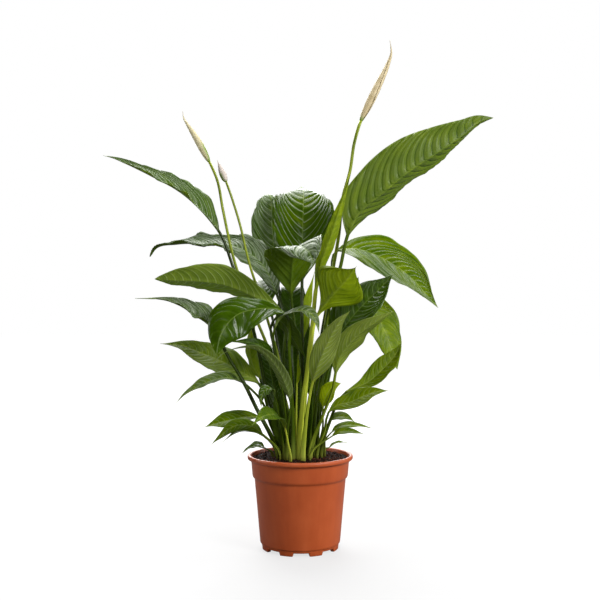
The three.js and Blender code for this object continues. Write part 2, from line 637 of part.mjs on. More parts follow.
// ---------- the blooms ----------
const PLAIN_BLOOM = { stalk: 2.2, foot: 2.8, roll: 0, columns: 4 };
const blooms = [
  {
    ...PLAIN_BLOOM,
    name: "left_tall",
    root: [-10, 13],
    stem: [[-44, 20, 300], [-76, 19, 380], [-103, 17, 450], [-125, 17, 545], [-135, 17, 595],
      [-147, 17, 622]],
    blade: [[-157, 17, 641], [-169, 17, 662], [-182, 17, 682], [-188, 17, 692], [-190, 17, 703]],
    half: 5.2,
  },
  {
    ...PLAIN_BLOOM,
    name: "left_short",
    root: [-1, 10],
    stem: [[-34, 19, 300], [-60, 19, 390], [-80, 17, 450], [-100, 18, 530], [-120, 19, 590]],
    blade: [[-124, 19, 600], [-128, 19, 609], [-131, 19, 617], [-134, 19, 624]],
    half: 5.2,
    stalk: 1.9,
  },
  {
    ...PLAIN_BLOOM,
    name: "right_tall",
    root: [10, 17],
    stem: [[24, 10, 250], [41, 10, 358], [52, 8, 442], [62, 8, 500], [69, 9, 565], [80, 12, 605],
      [88, 12, 655], [98, 12, 688]],
    blade: [[111, 12, 715], [127, 12, 748], [141, 12, 778], [147, 12, 797], [145, 12, 818]],
    half: 6.2,
    stalk: 2.6,
    foot: 3.3,
  },
];

// ---------- materials ----------
const plain = (color, roughness) => new THREE.MeshStandardMaterial({ color, roughness });

const root = new THREE.Group();

function add(name, geometry, color, roughness) {
  geometry.computeVertexNormals();
  const mesh = new THREE.Mesh(geometry, plain(color, roughness));
  mesh.name = name;
  root.add(mesh);
}

add("nursery_pot", makePot(), 0xb05530, 0.5);
add("potting_soil", makeSoil([...leaves, ...blooms]), 0x2b1a12, 0.95);
for (const entry of leaves) add(entry.name, makeLeaf(entry), 0x3f7416, 0.35);
for (const bloom of blooms) {
  add(`flower_stalk_${bloom.name}`, makeFlowerStalk(bloom), 0x8fa832, 0.4);
  add(`spathe_${bloom.name}`, makeSpathe(bloom), 0xd8cda0, 0.55);
}

export default root;
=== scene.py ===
import itertools
import math

import bpy
import numpy as np
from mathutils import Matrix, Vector, noise


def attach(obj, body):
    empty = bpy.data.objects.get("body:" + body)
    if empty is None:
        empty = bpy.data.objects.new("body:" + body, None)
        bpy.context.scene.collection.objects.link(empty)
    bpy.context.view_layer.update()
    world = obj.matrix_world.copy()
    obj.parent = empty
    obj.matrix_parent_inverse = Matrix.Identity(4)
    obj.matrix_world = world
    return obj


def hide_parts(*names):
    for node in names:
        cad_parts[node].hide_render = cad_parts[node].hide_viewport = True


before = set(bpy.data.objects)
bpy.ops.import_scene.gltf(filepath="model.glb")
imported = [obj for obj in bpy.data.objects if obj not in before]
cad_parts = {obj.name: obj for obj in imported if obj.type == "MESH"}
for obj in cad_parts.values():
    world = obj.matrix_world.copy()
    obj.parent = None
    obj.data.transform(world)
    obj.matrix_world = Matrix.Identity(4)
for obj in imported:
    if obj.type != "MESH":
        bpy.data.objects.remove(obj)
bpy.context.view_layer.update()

# ---------- driving dimensions ----------
MM = 0.001
POT_FLOOR_Z = 6.5  # the floor's underside
FOOT_COUNT = 8
FOOT_STEP = 2 * math.pi / FOOT_COUNT
FOOT_RADIUS = 61.8  # to the outside of the skirt that the notches between the feet are cut in
FOOT_DEPTH = 6.0  # how thick the skirt is
FOOT_TURN = math.radians(1.5)
NOTCH_TOP_Z = 5.2
NOTCH_HALF_LOW = 14.1  # half a notch's width on the ground
NOTCH_HALF_HIGH = 12.25  # and at its top
SOIL_TOP = 146.0
SOIL_EDGE_RADIUS = 77.6
CROWN_RISE = 1.5  # how much higher the soil is in the middle
ROOT_DEPTH = 14.0  # how far under SOIL_TOP a stalk's line starts
UPRIGHT = 6.0  # how far above SOIL_TOP a stalk still stands upright
EYE_DISTANCE = 1487.0  # from the camera to the pot's middle
EYE_HEIGHT = 400.0


def linear(red, green, blue):
    """A colour written as 0-255 screen values, as the linear colour that a shader takes."""
    values = [channel / 255 for channel in (red, green, blue)]
    return (*[v / 12.92 if v < 0.04045 else ((v + 0.055) / 1.055) ** 2.4 for v in values], 1.0)


# ---------- node building ----------
class Shader:
    """A material whose nodes are made and joined by short calls."""

    def __init__(self, name, **settings):
        self.material = bpy.data.materials.new(name)
        self.material.use_nodes = True
        self.nodes = self.material.node_tree.nodes
        self.links = self.material.node_tree.links
        self.surface = self.nodes["Principled BSDF"]
        self.output = self.nodes["Material Output"]
        for socket, value in settings.items():
            self.put(self.surface, socket.replace("_", " "), value)

    def put(self, node, socket, value):
        target = node.inputs[socket]
        if isinstance(value, bpy.types.NodeSocket):
            self.links.new(value, target)
        else:
            target.default_value = value

    def node(self, kind, inputs=None, **settings):
        node = self.nodes.new(kind)
        for key, value in settings.items():
            setattr(node, key, value)
        for socket, value in (inputs or {}).items():
            self.put(node, socket, value)
        return node

    def math(self, operation, *values, clamp=False):
        inputs = dict(enumerate(values))
        node = self.node("ShaderNodeMath", inputs, operation=operation, use_clamp=clamp)
        return node.outputs[0]

    def plus(self, one, other, clamp=False):
        return self.math("ADD", one, other, clamp=clamp)

    def less(self, one, other):
        return self.math("SUBTRACT", one, other)

    def times(self, one, other):
        return self.math("MULTIPLY", one, other)

    def mix(self, share, low, high):
        inputs = {0: share, 6: low, 7: high}
        return self.node("ShaderNodeMix", inputs, data_type="RGBA").outputs[2]

    def span(self, value, low, high, to_low=0.0, to_high=1.0, smooth=False):
        kind = "SMOOTHSTEP" if smooth else "LINEAR"
        inputs = {"Value": value, 1: low, 2: high, 3: to_low, 4: to_high}
        node = self.node("ShaderNodeMapRange", inputs, interpolation_type=kind)
        return node.outputs[0]

    def swing(self, cloud, size):
        """A noise as an amount from -size to size."""
        return self.span(cloud, 0.3, 0.7, -size, size)

    def ramp(self, value, stops):
        """stops are places from 0 to 1, each with its colour as 0-255 values."""
        node = self.node("ShaderNodeValToRGB", {0: value})
        elements = node.color_ramp.elements
        while len(elements) < len(stops):
            elements.new(0.5)
        for element, (position, colour) in zip(elements, stops):
            element.position = position
            element.color = linear(*colour)
        return node.outputs[0]

    def parts(self, name):
        """The three numbers of a vector attribute."""
        source = self.node("ShaderNodeAttribute", attribute_name=name)
        return self.node("ShaderNodeSeparateXYZ", {0: source.outputs["Vector"]}).outputs

    def place(self):
        return self.node("ShaderNodeTexCoord").outputs["Object"]

    def scaled(self, vector, scale):
        return self.node("ShaderNodeMapping", {"Vector": vector, "Scale": scale}).outputs[0]

    def noise(self, vector, scale, detail=3.0, roughness=0.55):
        inputs = {"Vector": vector, "Scale": scale, "Detail": detail, "Roughness": roughness}
        return self.node("ShaderNodeTexNoise", inputs).outputs["Fac"]

    def streaks(self, one, other, seed, scales, detail, roughness=0.55):
        """Noise over two coordinates of a surface, each multiplied by its scale."""
        inputs = {0: self.times(one, scales[0]), 1: self.times(other, scales[1]), 2: seed}
        vector = self.node("ShaderNodeCombineXYZ", inputs).outputs[0]
        return self.noise(vector, 1.0, detail, roughness)

    def bump(self, height, strength, distance):
        inputs = {"Height": height, "Strength": strength, "Distance": distance}
        return self.node("ShaderNodeBump", inputs).outputs[0]

    def finish(self, colour, roughness, normal=None):
        self.put(self.surface, "Base Color", colour)
        self.put(self.surface, "Roughness", roughness)
        if normal is not None:
            self.put(self.surface, "Normal", normal)
        return self.material

    def let_through(self, share, **inputs):
        """Mixes in light that comes through the sheet from its other side."""
        through = self.node("ShaderNodeBsdfTranslucent", inputs)
        inputs = {0: share, 1: self.surface.outputs[0], 2: through.outputs[0]}
        both = self.node("ShaderNodeMixShader", inputs)
        self.put(self.output, "Surface", both.outputs[0])


# ---------- meshes ----------
def new_mesh(name, points, faces, material, **vectors):
    """A smooth mesh. points are millimetres and vectors are named attributes, three numbers each."""
    mesh = bpy.data.meshes.new(name)
    mesh.from_pydata(points * MM, [], faces)
    mesh.validate()
    mesh.shade_smooth()
    for key, values in vectors.items():
        layer = mesh.attributes.new(key, "FLOAT_VECTOR", "POINT")
        layer.data.foreach_set("vector", values.ravel())
    mesh.materials.append(material)
    piece = bpy.data.objects.new(name, mesh)
    bpy.context.collection.objects.link(piece)
    return piece


def ring_quads(rows, around):
    """Quads between closed rings of points that follow each other."""
    row = np.arange(rows - 1)[:, None] * around
    here = np.arange(around)[None, :]
    beside = (here + 1) % around
    corners = [row + here, row + beside, row + around + beside, row + around + here]
    return np.stack(corners, axis=-1).reshape(-1, 4)


def end_quads(rows, around):
    """Quads that close the first and the last ring."""
    near = np.arange(around // 2 - 1)
    far = around - 1 - near
    first = np.stack([near, far, far - 1, near + 1], axis=-1)
    last = (rows - 1) * around + np.stack([near, near + 1, far - 1, far], axis=-1)
    return np.concatenate([first, last])


def skin(name, rings, material, **vectors):
    """A closed mesh over rings of points, with attributes in the same rows and columns."""
    rows, around = rings.shape[:2]
    quads = np.concatenate([ring_quads(rows, around), end_quads(rows, around)])
    flat = {key: values.reshape(-1, 3) for key, values in vectors.items()}
    return new_mesh(name, rings.reshape(-1, 3), quads, material, **flat)


def replace(piece, slot, *nodes):
    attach(piece, "root")
    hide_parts(*nodes)


# ---------- curves ----------
CURVE_STEPS = 16


def seen(place):
    """A place that is written as it looks from the front, moved out to its own depth."""
    across, depth, height = place
    scale = (EYE_DISTANCE + depth) / EYE_DISTANCE
    return across * scale, depth, EYE_HEIGHT + (height - EYE_HEIGHT) * scale


def smooth_line(points):
    """A smooth curve through the points, whose slope at a point leans to its nearer neighbour."""
    step = points[1:] - points[:-1]
    gap = np.linalg.norm(step, axis=1)
    chord = step / gap[:, None]
    near = (gap[:-1] / (gap[:-1] + gap[1:]))[:, None]
    slope = np.concatenate([chord[:1], chord[:-1] * (1 - near) + chord[1:] * near, chord[-1:]])
    line = [points[:1]]
    t = (np.arange(1, CURVE_STEPS + 1) / CURVE_STEPS)[:, None]
    rest = 1 - t
    for i in range(len(gap)):
        line.append(
            points[i] * (1 + 2 * t) * rest**2
            + slope[i] * gap[i] * t * rest**2
            + points[i + 1] * t**2 * (3 - 2 * t)
            - slope[i + 1] * gap[i] * t**2 * rest
        )
    return np.concatenate(line)


def unit(vectors):
    return vectors / np.linalg.norm(vectors, axis=-1, keepdims=True)


class Stalk:
    """The curve of one stalk with what it carries, up out of the soil and on to the tip."""

    def __init__(self, root, stem, blade):
        x, y = root
        ground = [(x, y, SOIL_TOP - ROOT_DEPTH), (x, y, SOIL_TOP + UPRIGHT)]
        points = np.array(ground + [seen(place) for place in stem + blade], dtype=float)
        self.line = smooth_line(points)
        steps = np.linalg.norm(np.diff(self.line, axis=0), axis=1)
        self.reach = np.concatenate([[0], np.cumsum(steps)])
        self.length = self.reach[-1]
        self.neck = self.reach[(1 + len(stem)) * CURVE_STEPS]
        self.slope = unit(np.gradient(self.line, self.reach, axis=0))
        lean = unit(np.array([points[-1][0] - x, points[-1][1] - y, 0.0]))
        self.level = np.cross(lean, (0.0, 0.0, 1.0))

    def frame(self, distance, roll):
        """Point, side and top of the cross-sections at the distances, turned by roll degrees."""
        point, slope = (
            np.stack([np.interp(distance, self.reach, axis) for axis in table.T], axis=-1)
            for table in (self.line, self.slope)
        )
        slope = unit(slope)
        side = unit(self.level - slope * (slope @ self.level)[..., None])
        angle = np.radians(roll)[..., None] if np.ndim(roll) else math.radians(roll)
        side = side * np.cos(angle) + np.cross(slope, side) * np.sin(angle)
        return point, side, np.cross(side, slope)


def smooth_step(value):
    value = np.clip(value, 0, 1)
    return value * value * (3 - 2 * value)


def packed(*three):
    """Vectors made of three arrays or numbers."""
    return np.stack(np.broadcast_arrays(*three), axis=-1)


# ---------- leaf material ----------
UPPER_GREENS = [(0.0, (30, 50, 0)), (0.35, (56, 84, 0)), (0.65, (104, 124, 2)), (1.0, (152, 168, 6))]
UNDERSIDE_GREENS = [(0.0, (58, 78, 4)), (0.5, (102, 118, 16)), (1.0, (150, 166, 18))]
VEIN_GREENS = [(0.0, (74, 110, 30)), (1.0, (176, 196, 70))]
RIB_GREENS = [(0.0, (92, 122, 46)), (1.0, (188, 200, 96))]
# the darkest stalk green is painted shade, for stalks at the back and inside the clump
STALK_GREENS = [(0.0, (9, 18, 0)), (0.5, (62, 82, 4)), (1.0, (186, 198, 62))]
GREY_UNDERSIDE = linear(126, 138, 82)
GREY_VEIN = linear(176, 184, 140)
# painted highlight: the light that glossy vein ridges would catch, painted along the veins
PAINTED_VEIN_HIGHLIGHT_COLOUR = linear(158, 168, 140)
# painted shade: the dark green painted along veins that lie in grooves
PAINTED_GROOVE_SHADE_COLOUR = linear(46, 66, 0)
# painted reflection: the silvery colour painted where an upper side would mirror the bright
# surroundings
PAINTED_REFLECTION_COLOUR = linear(176, 186, 164)
PALE_SHEATH = linear(168, 176, 82)
BROWN_SCAR = linear(96, 66, 34)
THROUGH_LIGHT = linear(176, 204, 20)
FINE_VEINS = 3  # from one side vein to the next
SATIN_SPECULAR = 0.12
GLOSSY_SPECULAR = 0.2
GLOSSY_SHEEN = 0.85  # the sheen from which a leaf is glossy


def make_leaf_material(name, specular):
    s = Shader(name, Specular_IOR_Level=specular)
    across, along, vein = s.parts("leaf_place")
    blade, upper, out = s.parts("leaf_kind")
    tint, stem, sheen = s.parts("leaf_look")
    grey, silver, groove = s.parts("leaf_cast")
    haze = s.parts("leaf_haze")[0]
    place = s.place()

    # green that varies in clouds, in bands along the side veins and in fine specks
    cloud = s.noise(place, 34.0, 3.0)
    fine = s.noise(place, 260.0, 2.0)
    band = s.streaks(vein, out, tint, (1.3, 1.6), 4.0, 0.65)
    shade = s.plus(s.plus(tint, s.swing(cloud, 0.08)), s.swing(band, 0.16))
    face = s.ramp(s.plus(shade, s.swing(fine, 0.03), clamp=True), UPPER_GREENS)
    pale = s.ramp(shade, UNDERSIDE_GREENS)
    pale = s.mix(s.times(grey, 0.8), pale, GREY_UNDERSIDE)
    colour = s.mix(s.times(s.less(1.0, upper), 0.75), face, pale)

    # painted reflection: a silvery colour painted on the upper side, in patches and streaks, where it
    # would mirror the bright surroundings
    patch = s.streaks(vein, out, tint, (2.2, 2.0), 5.0, 0.7)
    haze = s.times(s.times(haze, blade), s.span(patch, 0.4, 0.58, 0.1, 1.0))
    streak = s.streaks(vein, out, tint, (7.0, 1.6), 3.0, 0.6)
    haze = s.times(haze, s.span(streak, 0.4, 0.58, 0.25, 1.0))
    colour = s.mix(haze, colour, PAINTED_REFLECTION_COLOUR)

    # side veins: a line on each, pale or dark, and a finer set between them. On glossy upper sides the
    # pale line is a painted highlight, and a dark line is painted shade in its groove
    from_vein = s.math("ABSOLUTE", s.less(s.math("FRACT", s.plus(vein, 0.5)), 0.5))
    line = s.span(from_vein, 0.02, 0.12, 1.0, 0.0, smooth=True)
    line = s.times(line, s.span(out, 0.55, 1.0, 1.0, 0.15))
    between = s.math("SINE", s.times(vein, 2 * math.pi * FINE_VEINS))
    between = s.times(between, s.noise(place, 120.0, 2.0))
    vein_and_highlight_tint = s.ramp(shade, VEIN_GREENS)
    # gleam is how much painted highlight the vein lines get on the upper side
    gleam = s.times(silver, upper)
    vein_and_highlight_tint = s.mix(s.times(gleam, 0.85), vein_and_highlight_tint, PAINTED_VEIN_HIGHLIGHT_COLOUR)
    vein_and_highlight_tint = s.mix(s.times(grey, 0.8), vein_and_highlight_tint, GREY_VEIN)
    strength = s.times(line, s.plus(0.24, s.times(gleam, 0.66)))
    strength = s.plus(strength, s.times(s.times(line, grey), 0.55))
    # painted shade: where veins lie in grooves, their pale line gives way to dark green painted along
    # them
    strength = s.times(strength, s.less(1.0, groove))
    colour = s.mix(strength, colour, vein_and_highlight_tint)
    colour = s.mix(s.times(line, groove), colour, PAINTED_GROOVE_SHADE_COLOUR)
    colour = s.mix(s.span(between, -0.5, 0.5, 0.0, 0.4), colour, face)

    # the midrib and the blade's edge, which takes the vein colour with its painted highlight
    rib = s.span(s.math("ABSOLUTE", across), 0.3, 1.3, 1.0, 0.0, smooth=True)
    rib_share = s.times(rib, s.span(upper, 0.0, 1.0, 0.18, 0.45))
    colour = s.mix(rib_share, colour, s.ramp(shade, RIB_GREENS))
    edge = s.span(out, 0.955, 1.0, 0.0, 0.35, smooth=True)
    colour = s.mix(edge, colour, vein_and_highlight_tint)

    # the stalk: long streaks, darker or lighter by leaf, and darkest as painted shade on stalks at the
    # back and inside the clump, paler in its sheath at the soil
    streak = s.streaks(across, along, tint, (1.6, 0.012), 4.0)
    stalk = s.ramp(s.plus(stem, s.swing(streak, 0.2), clamp=True), STALK_GREENS)
    foot = s.times(s.span(along, 14.0, 60.0, 0.5, 0.0, smooth=True), stem)
    stalk = s.mix(foot, stalk, PALE_SHEATH)
    scar = s.times(s.span(along, 12.0, 26.0, 1.0, 0.0), s.span(streak, 0.45, 0.6))
    stalk = s.mix(s.times(scar, 0.7), stalk, BROWN_SCAR)
    colour = s.mix(blade, stalk, colour)

    # side veins are sunk on the upper side and stand out on the underside
    grain = s.plus(s.times(between, 0.35), s.times(fine, 0.5))
    grain = s.less(grain, s.times(line, s.less(s.times(upper, 1.6), 0.6)))
    normal = s.bump(s.times(grain, blade), 0.45, 0.00035)
    rough = s.less(s.span(upper, 0.0, 1.0, 0.46, 0.38), s.times(sheen, 0.16))
    rough = s.plus(rough, s.swing(fine, 0.05))

    # light that comes through a blade is yellower than the light off it
    glow = s.mix(0.55, colour, THROUGH_LIGHT)
    share = s.times(blade, s.plus(0.16, s.times(tint, 0.3)))
    s.let_through(share, Color=glow, Normal=normal)
    return s.finish(colour, rough, normal)


SATIN_LEAF = make_leaf_material("leaf_satin", SATIN_SPECULAR)
GLOSSY_LEAF = make_leaf_material("leaf_glossy", GLOSSY_SPECULAR)

# ---------- leaves ----------
LARGE_COLUMNS = 21
SMALL_COLUMNS = 13
ROW_STEP = 1.8
STALK_STEP = 9.0
NECK_SHARE = 0.06  # share of the blade over which the stalk flattens into it
SHEATH_LENGTH = 85.0
CHANNEL = 0.2  # depth of the channel along a stalk's top, as a share of its radius
MIDRIB_CROWD = 1.5  # power that draws the columns to the midrib
SWEEP_CURVE = (0.5, 1.3, 0.6)  # how far forward a row runs, by out, out squared and out cubed
MOST_SWEEP = 0.34
LEAST_WIDTH = 0.25
RIB_MELT = 1.6  # how far from the midrib a blade's halves start to fold up
HALF_THICKNESS = 0.27
RIB_SINK = 0.3  # how deep the midrib is sunk on the upper side
RIB_TIP = 0.12  # how far the midrib still stands out underneath at the tip
FRILL_LENGTH = 260  # length of blade that FRILL_WAVES are counted over
FRILL_WAVES = (7.3, 11.7)
SWELLS = ((1.7, 1.1), (3.1, 2.3))  # waves along the blade, and bends from edge to edge
RUMPLES = ((1.9, 1.3), (2.7, -2.2), (4.1, 2.9), (6.3, -3.7))
LEAF_SEED = 100

PLAIN_LEAF = dict(
    twist=0,  # how many degrees more the blade is turned at its tip
    fold=12,  # how far the halves stand up from the midrib, in degrees
    cup=0,  # how much more at the edge
    wave=1.5,  # size of the slow waves at the edge
    waves=2.5,  # how many of them
    widest=0.4,  # where the blade is widest, as a share of its length
    base=0.85,  # less is blunter at the base
    taper=1.2,  # and at the tip
    stalk=2.2,  # the stalk's radius at its neck
    foot=3.3,  # and at the soil
    columns=LARGE_COLUMNS,
    spacing=10,  # between side veins
    sweep=1,  # how far forward the side veins run
    quilt=0.8,  # how far the blade swells between them
    crimp=-0.5,  # how much more it swells at the edge
    rumple=0,  # uneven swells, a few across the blade
    frill=0.7,  # fine ripples along the edge
    sheen=0.5,  # how glossy the leaf is
    grey=0,  # how grey the underside is
    silver=0.3,  # painted highlight along the veins on the upper side
    groove=0,  # painted shade in the grooves along the veins
    haze=(0, 0),  # painted reflection on the upper side, left and right of the midrib
)
SMALL_LEAF = dict(
    wave=0.6, taper=1.5, stalk=1.3, foot=2.2, columns=SMALL_COLUMNS, spacing=8, quilt=0.5, frill=0.3,
)

leaves = []


def leaf(name, root, stem, blade, half, roll, tint, stem_tint, **form):
    """Notes down one leaf, with what differs from PLAIN_LEAF.

    root is x and y at the soil. stem and blade are places along the midrib as they look from the
    front: across, depth and height. The blade starts at the stem's last place. half is half its
    width, and roll the degrees that it is turned round its midrib. A tint is 0 for deep green
    and 1 for yellow-green. The lowest tints and stem tints, on the inner leaves and on stalks at
    the back, are painted shade of the clump's inside.
    """
    given = dict(root=root, stem=stem, blade=blade, half=half, roll=roll, tint=tint)
    own = dict(name=f"leaf_{name}", stem_tint=stem_tint, phase=(0.37 * len(leaves)) % 1)
    leaves.append({**PLAIN_LEAF, **given, **own, **form})


def small_leaf(*given, **form):
    leaf(*given, **{**SMALL_LEAF, **form})


def outline(s, shape):
    """Half the blade's width as a share of its widest, from 0, the base, to 1, the tip."""
    turn = np.clip(np.sin(np.pi * s ** (math.log(0.5) / math.log(shape["widest"]))), 0, 1)
    return turn ** np.where(s < shape["widest"], shape["base"], shape["taper"])


def around_angles(columns):
    return np.pi * (1 - (np.arange(2 * columns) + 0.5) / columns)


def round_rings(point, side, top, radius, columns, channel, spread=0.0):
    """Rings round a stalk with a channel along its top, spread sideways where it is a sheath."""
    angle = around_angles(columns)
    dip = 1 - channel * np.exp(-(((angle - np.pi / 2) / 0.5) ** 2))
    wide = (radius * (1 + spread))[..., None, None] * (np.cos(angle))[:, None]
    tall = (radius * (1 - 0.2 * spread))[..., None, None] * (np.sin(angle) * dip)[:, None]
    return point[:, None] + side[:, None] * wide + top[:, None] * tall


def there_and_back(upper, lower):
    """Rows across the upper face that go on back across the lower face."""
    return np.concatenate([upper, lower[:, ::-1]], axis=1)


def both_faces(*three):
    """A vector attribute that is the same on both faces."""
    return there_and_back(packed(*three), packed(*three))


def blade_rise(shape, length, rng, s, row, u, width):
    """How far each point of a blade stands off its plain fold, in waves, frills and swellings."""
    half = shape["half"]
    out, hand = np.abs(u), np.sign(u)
    fill = width / half
    wave = np.sin(2 * np.pi * (shape["waves"] * s + shape["phase"] + 0.2 * hand))
    rise = shape["wave"] * out**1.5 * fill * wave
    turns = rng.uniform(0, 2 * np.pi, 8)
    for i, waves in enumerate(FRILL_WAVES):
        turn = turns[i] + hand * turns[i + 2]
        ripple = np.sin(2 * np.pi * waves * s * length / FRILL_LENGTH + turn)
        rise = rise + shape["frill"] * out**4 * fill * ripple * (1 - 0.35 * i)
    for i, (waves, bends) in enumerate(SWELLS):
        ripple = np.sin(2 * np.pi * (waves * s + 0.35 * bends * u) + turns[4 + i])
        rise = rise + 0.035 * half * (0.8 - 0.4 * i) * out**0.7 * fill * ripple

    # swellings between the side veins
    vein = row * length / shape["spacing"] + np.where(hand > 0, 0.35, 0.0)
    pillow = np.abs(np.sin(np.pi * vein)) ** 0.6 - 0.55
    middle_fade = 1 - np.exp(-((u * width / 4) ** 2))
    fade = middle_fade * (1 + shape["crimp"] * out**3) * np.clip(width / 12, 0, 1)
    ends = smooth_step(row / 0.1), smooth_step((1 - row) / 0.1)
    rise = rise + shape["quilt"] * pillow * fade * ends[0] * ends[1]

    for i, (waves, bends) in enumerate(RUMPLES):
        turn = rng.uniform(0, 2 * np.pi)
        ripple = np.sin(2 * np.pi * (waves * s * length / 100 + 0.5 * bends * u) + turn)
        rise = rise + shape["rumple"] * (0.8 - 0.12 * i) * out**0.6 * fill * ripple
    return rise, vein


def blade_rows(shape, stalk, rng):
    """The rows of a blade. Each row runs out along its side veins, which sweep forward."""
    half, columns = shape["half"], shape["columns"]
    length = stalk.length - stalk.neck
    count = int(length / ROW_STEP) + 8
    t = np.linspace(0, 1, count)[1:]
    row = (t - 0.35 * np.sin(2 * np.pi * t) / (2 * np.pi))[:, None]
    even = np.linspace(-1, 1, columns)
    u = (np.sign(even) * np.abs(even) ** MIDRIB_CROWD)[None, :]
    out, hand = np.abs(u), np.sign(u)
    curve = SWEEP_CURVE[0] * out + SWEEP_CURVE[1] * out**2 + SWEEP_CURVE[2] * out**3
    sweep = shape["sweep"] * curve * min(half / length, MOST_SWEEP)
    s = np.clip(row + sweep * (1 - row) * (1 - (1 - row) ** 6), 0, 1)

    point, side, top = stalk.frame(stalk.neck + s * length, shape["roll"] + shape["twist"] * s)
    width = np.maximum(LEAST_WIDTH, half * outline(s, shape))
    x = u * width
    fold = shape["fold"] + shape["cup"] * out
    lift = np.radians(fold) * (1 - np.exp(-((x / RIB_MELT) ** 2)))
    flat = side * (np.cos(lift) * hand)[..., None] + top * np.sin(lift)[..., None]
    normal = top * np.cos(lift)[..., None] - side * (np.sin(lift) * hand)[..., None]
    rise, vein = blade_rise(shape, length, rng, s, row, u, width)

    middle = point + flat * (width * out)[..., None] + normal * rise[..., None]
    rib = shape["stalk"] * (1 - row) ** 0.8 + RIB_TIP
    ridge = np.exp(-((x / (0.9 * rib + 0.6)) ** 2))
    thick = HALF_THICKNESS * (1 - 0.4 * out**2)
    upper = middle + normal * (thick - RIB_SINK * ridge * np.minimum(1, rib))[..., None]
    lower = middle - normal * (thick + rib * ridge)[..., None]
    rings = there_and_back(upper, lower)

    # the stalk's round section flattens into the blade
    centre = stalk.frame(stalk.neck + row[:, 0] * length, shape["roll"])
    round_ones = round_rings(*centre, np.full(len(row), shape["stalk"]), columns, CHANNEL)
    share = smooth_step(row / NECK_SHARE)[..., None]
    rings = round_ones * (1 - share) + rings * share

    place = both_faces(x, stalk.neck + s * length, vein)
    kind = there_and_back(packed(share[..., 0], 0 * x + 1, out), packed(share[..., 0], 0 * x, out))
    return rings, place, kind


def stem_rings(shape, stalk, columns, channel):
    """Rings of the stalk from under the soil to its neck, with their attributes."""
    end = stalk.neck
    ground = ROOT_DEPTH + UPRIGHT
    distance = np.linspace(ROOT_DEPTH - 5, end, max(6, int((end - ground) / STALK_STEP)))
    share = np.clip((distance - ground) / (end - ground), 0, 1)
    radius = shape["stalk"] + (shape["foot"] - shape["stalk"]) * (1 - share) ** 1.6
    spread = channel * 2.2 * smooth_step(1 - (distance - ROOT_DEPTH) / SHEATH_LENGTH)
    rings = round_rings(*stalk.frame(distance, shape["roll"]), radius, columns, channel, spread)
    angle = around_angles(columns)
    place = packed(radius[:, None] * np.cos(angle), distance[:, None], 0)
    kind = packed(0, 0.5 + 0.5 * np.sin(angle) + 0 * distance[:, None], 0)
    return rings, place, kind


def make_leaf(index, shape):
    stalk = Stalk(shape["root"], shape["stem"], shape["blade"])
    rng = np.random.default_rng(LEAF_SEED + index)
    low = stem_rings(shape, stalk, shape["columns"], CHANNEL)
    high = blade_rows(shape, stalk, rng)
    rings, place, kind = (np.concatenate(pair) for pair in zip(low, high))
    right = smooth_step(0.5 + place[..., 0] / 3)
    # how much painted reflection each point of the upper side gets, by its half of the blade
    haze = kind[..., 1] * (shape["haze"][0] * (1 - right) + shape["haze"][1] * right)
    look = [shape["tint"], shape["stem_tint"], shape["sheen"]]
    # grey underside, painted vein highlight and painted groove shade, the same all over the leaf
    cast = [shape["grey"], shape["silver"], shape["groove"]]
    vectors = dict(
        leaf_place=place,
        leaf_kind=kind,
        leaf_look=np.broadcast_to(look, rings.shape),
        leaf_cast=np.broadcast_to(cast, rings.shape),
        leaf_haze=packed(haze, 0, 0),
    )
    material = GLOSSY_LEAF if shape["sheen"] > GLOSSY_SHEEN else SATIN_LEAF
    piece = skin(f"{shape['name']}_blade", rings, material, **vectors)
    replace(piece, "leaf_tissue", shape["name"])


# ---------- the leaves ----------
# tall leaves
leaf("top_right", [16, 7], [[34, -4, 300], [50, -6, 400], [65, -6, 452], [76, -6, 501]],
    [[90, -5, 533], [134, -1, 573], [179, 4, 609], [224, 11, 638], [267, 19, 668], [288, 25, 685],
    [312, 30, 693]],
    53, -59, 0.4, 0.45, twist=12, fold=33, waves=3, widest=0.42, base=0.65, taper=0.92, stalk=2.8,
    foot=3.7, spacing=17, quilt=-2.6, grey=0.3, silver=0.2, groove=0.95, haze=(0.14, 0.2))
leaf("top_left", [-21, 15], [[-42, 12, 210], [-56, 15, 257], [-68, 15, 320], [-108, 9, 450],
    [-131, 8, 509]],
    [[-152, 8, 536], [-190, 9, 571], [-238, 10, 598], [-284, 11, 620], [-303, 11, 628],
    [-318, 11, 632]],
    31, -24, 0.36, 0.15, fold=24, wave=2, waves=3, widest=0.27, taper=1, stalk=2.4, foot=3.5,
    spacing=12, sweep=2.2, crimp=0.6, rumple=0.35, frill=1.4, sheen=1, silver=1, haze=(0.3, 0.3))
leaf("left_glossy", [-14, 24], [[-17, 28, 300], [-37, 52, 405]],
    [[-66, 68, 461], [-100, 78, 483], [-145, 90, 489], [-200, 96, 488.5], [-232, 98, 482],
    [-243, 98, 468]],
    35, -46, 0.12, 0.1, twist=44, fold=14, wave=3, waves=3.5, widest=0.38, taper=0.6, spacing=9,
    sweep=1.7, quilt=1.6, crimp=0.4, rumple=1.2, frill=1.4, sheen=0.6, silver=1, haze=(0.5, 0.5))
leaf("left_wide", [-23, 5], [[-27, -6, 300], [-30, -5, 380]],
    [[-75, -20, 405], [-100, -26, 416], [-124, -29, 424], [-150, -30, 428], [-188, -30, 430],
    [-212, -28, 430.5], [-235, -26, 432.3]],
    33, 42, 0.6, 0.35, fold=18, widest=0.54, base=1, taper=0.82, spacing=13, quilt=0.7, sheen=0.4,
    grey=0.75, silver=0.4, haze=(0.5, 0.5))
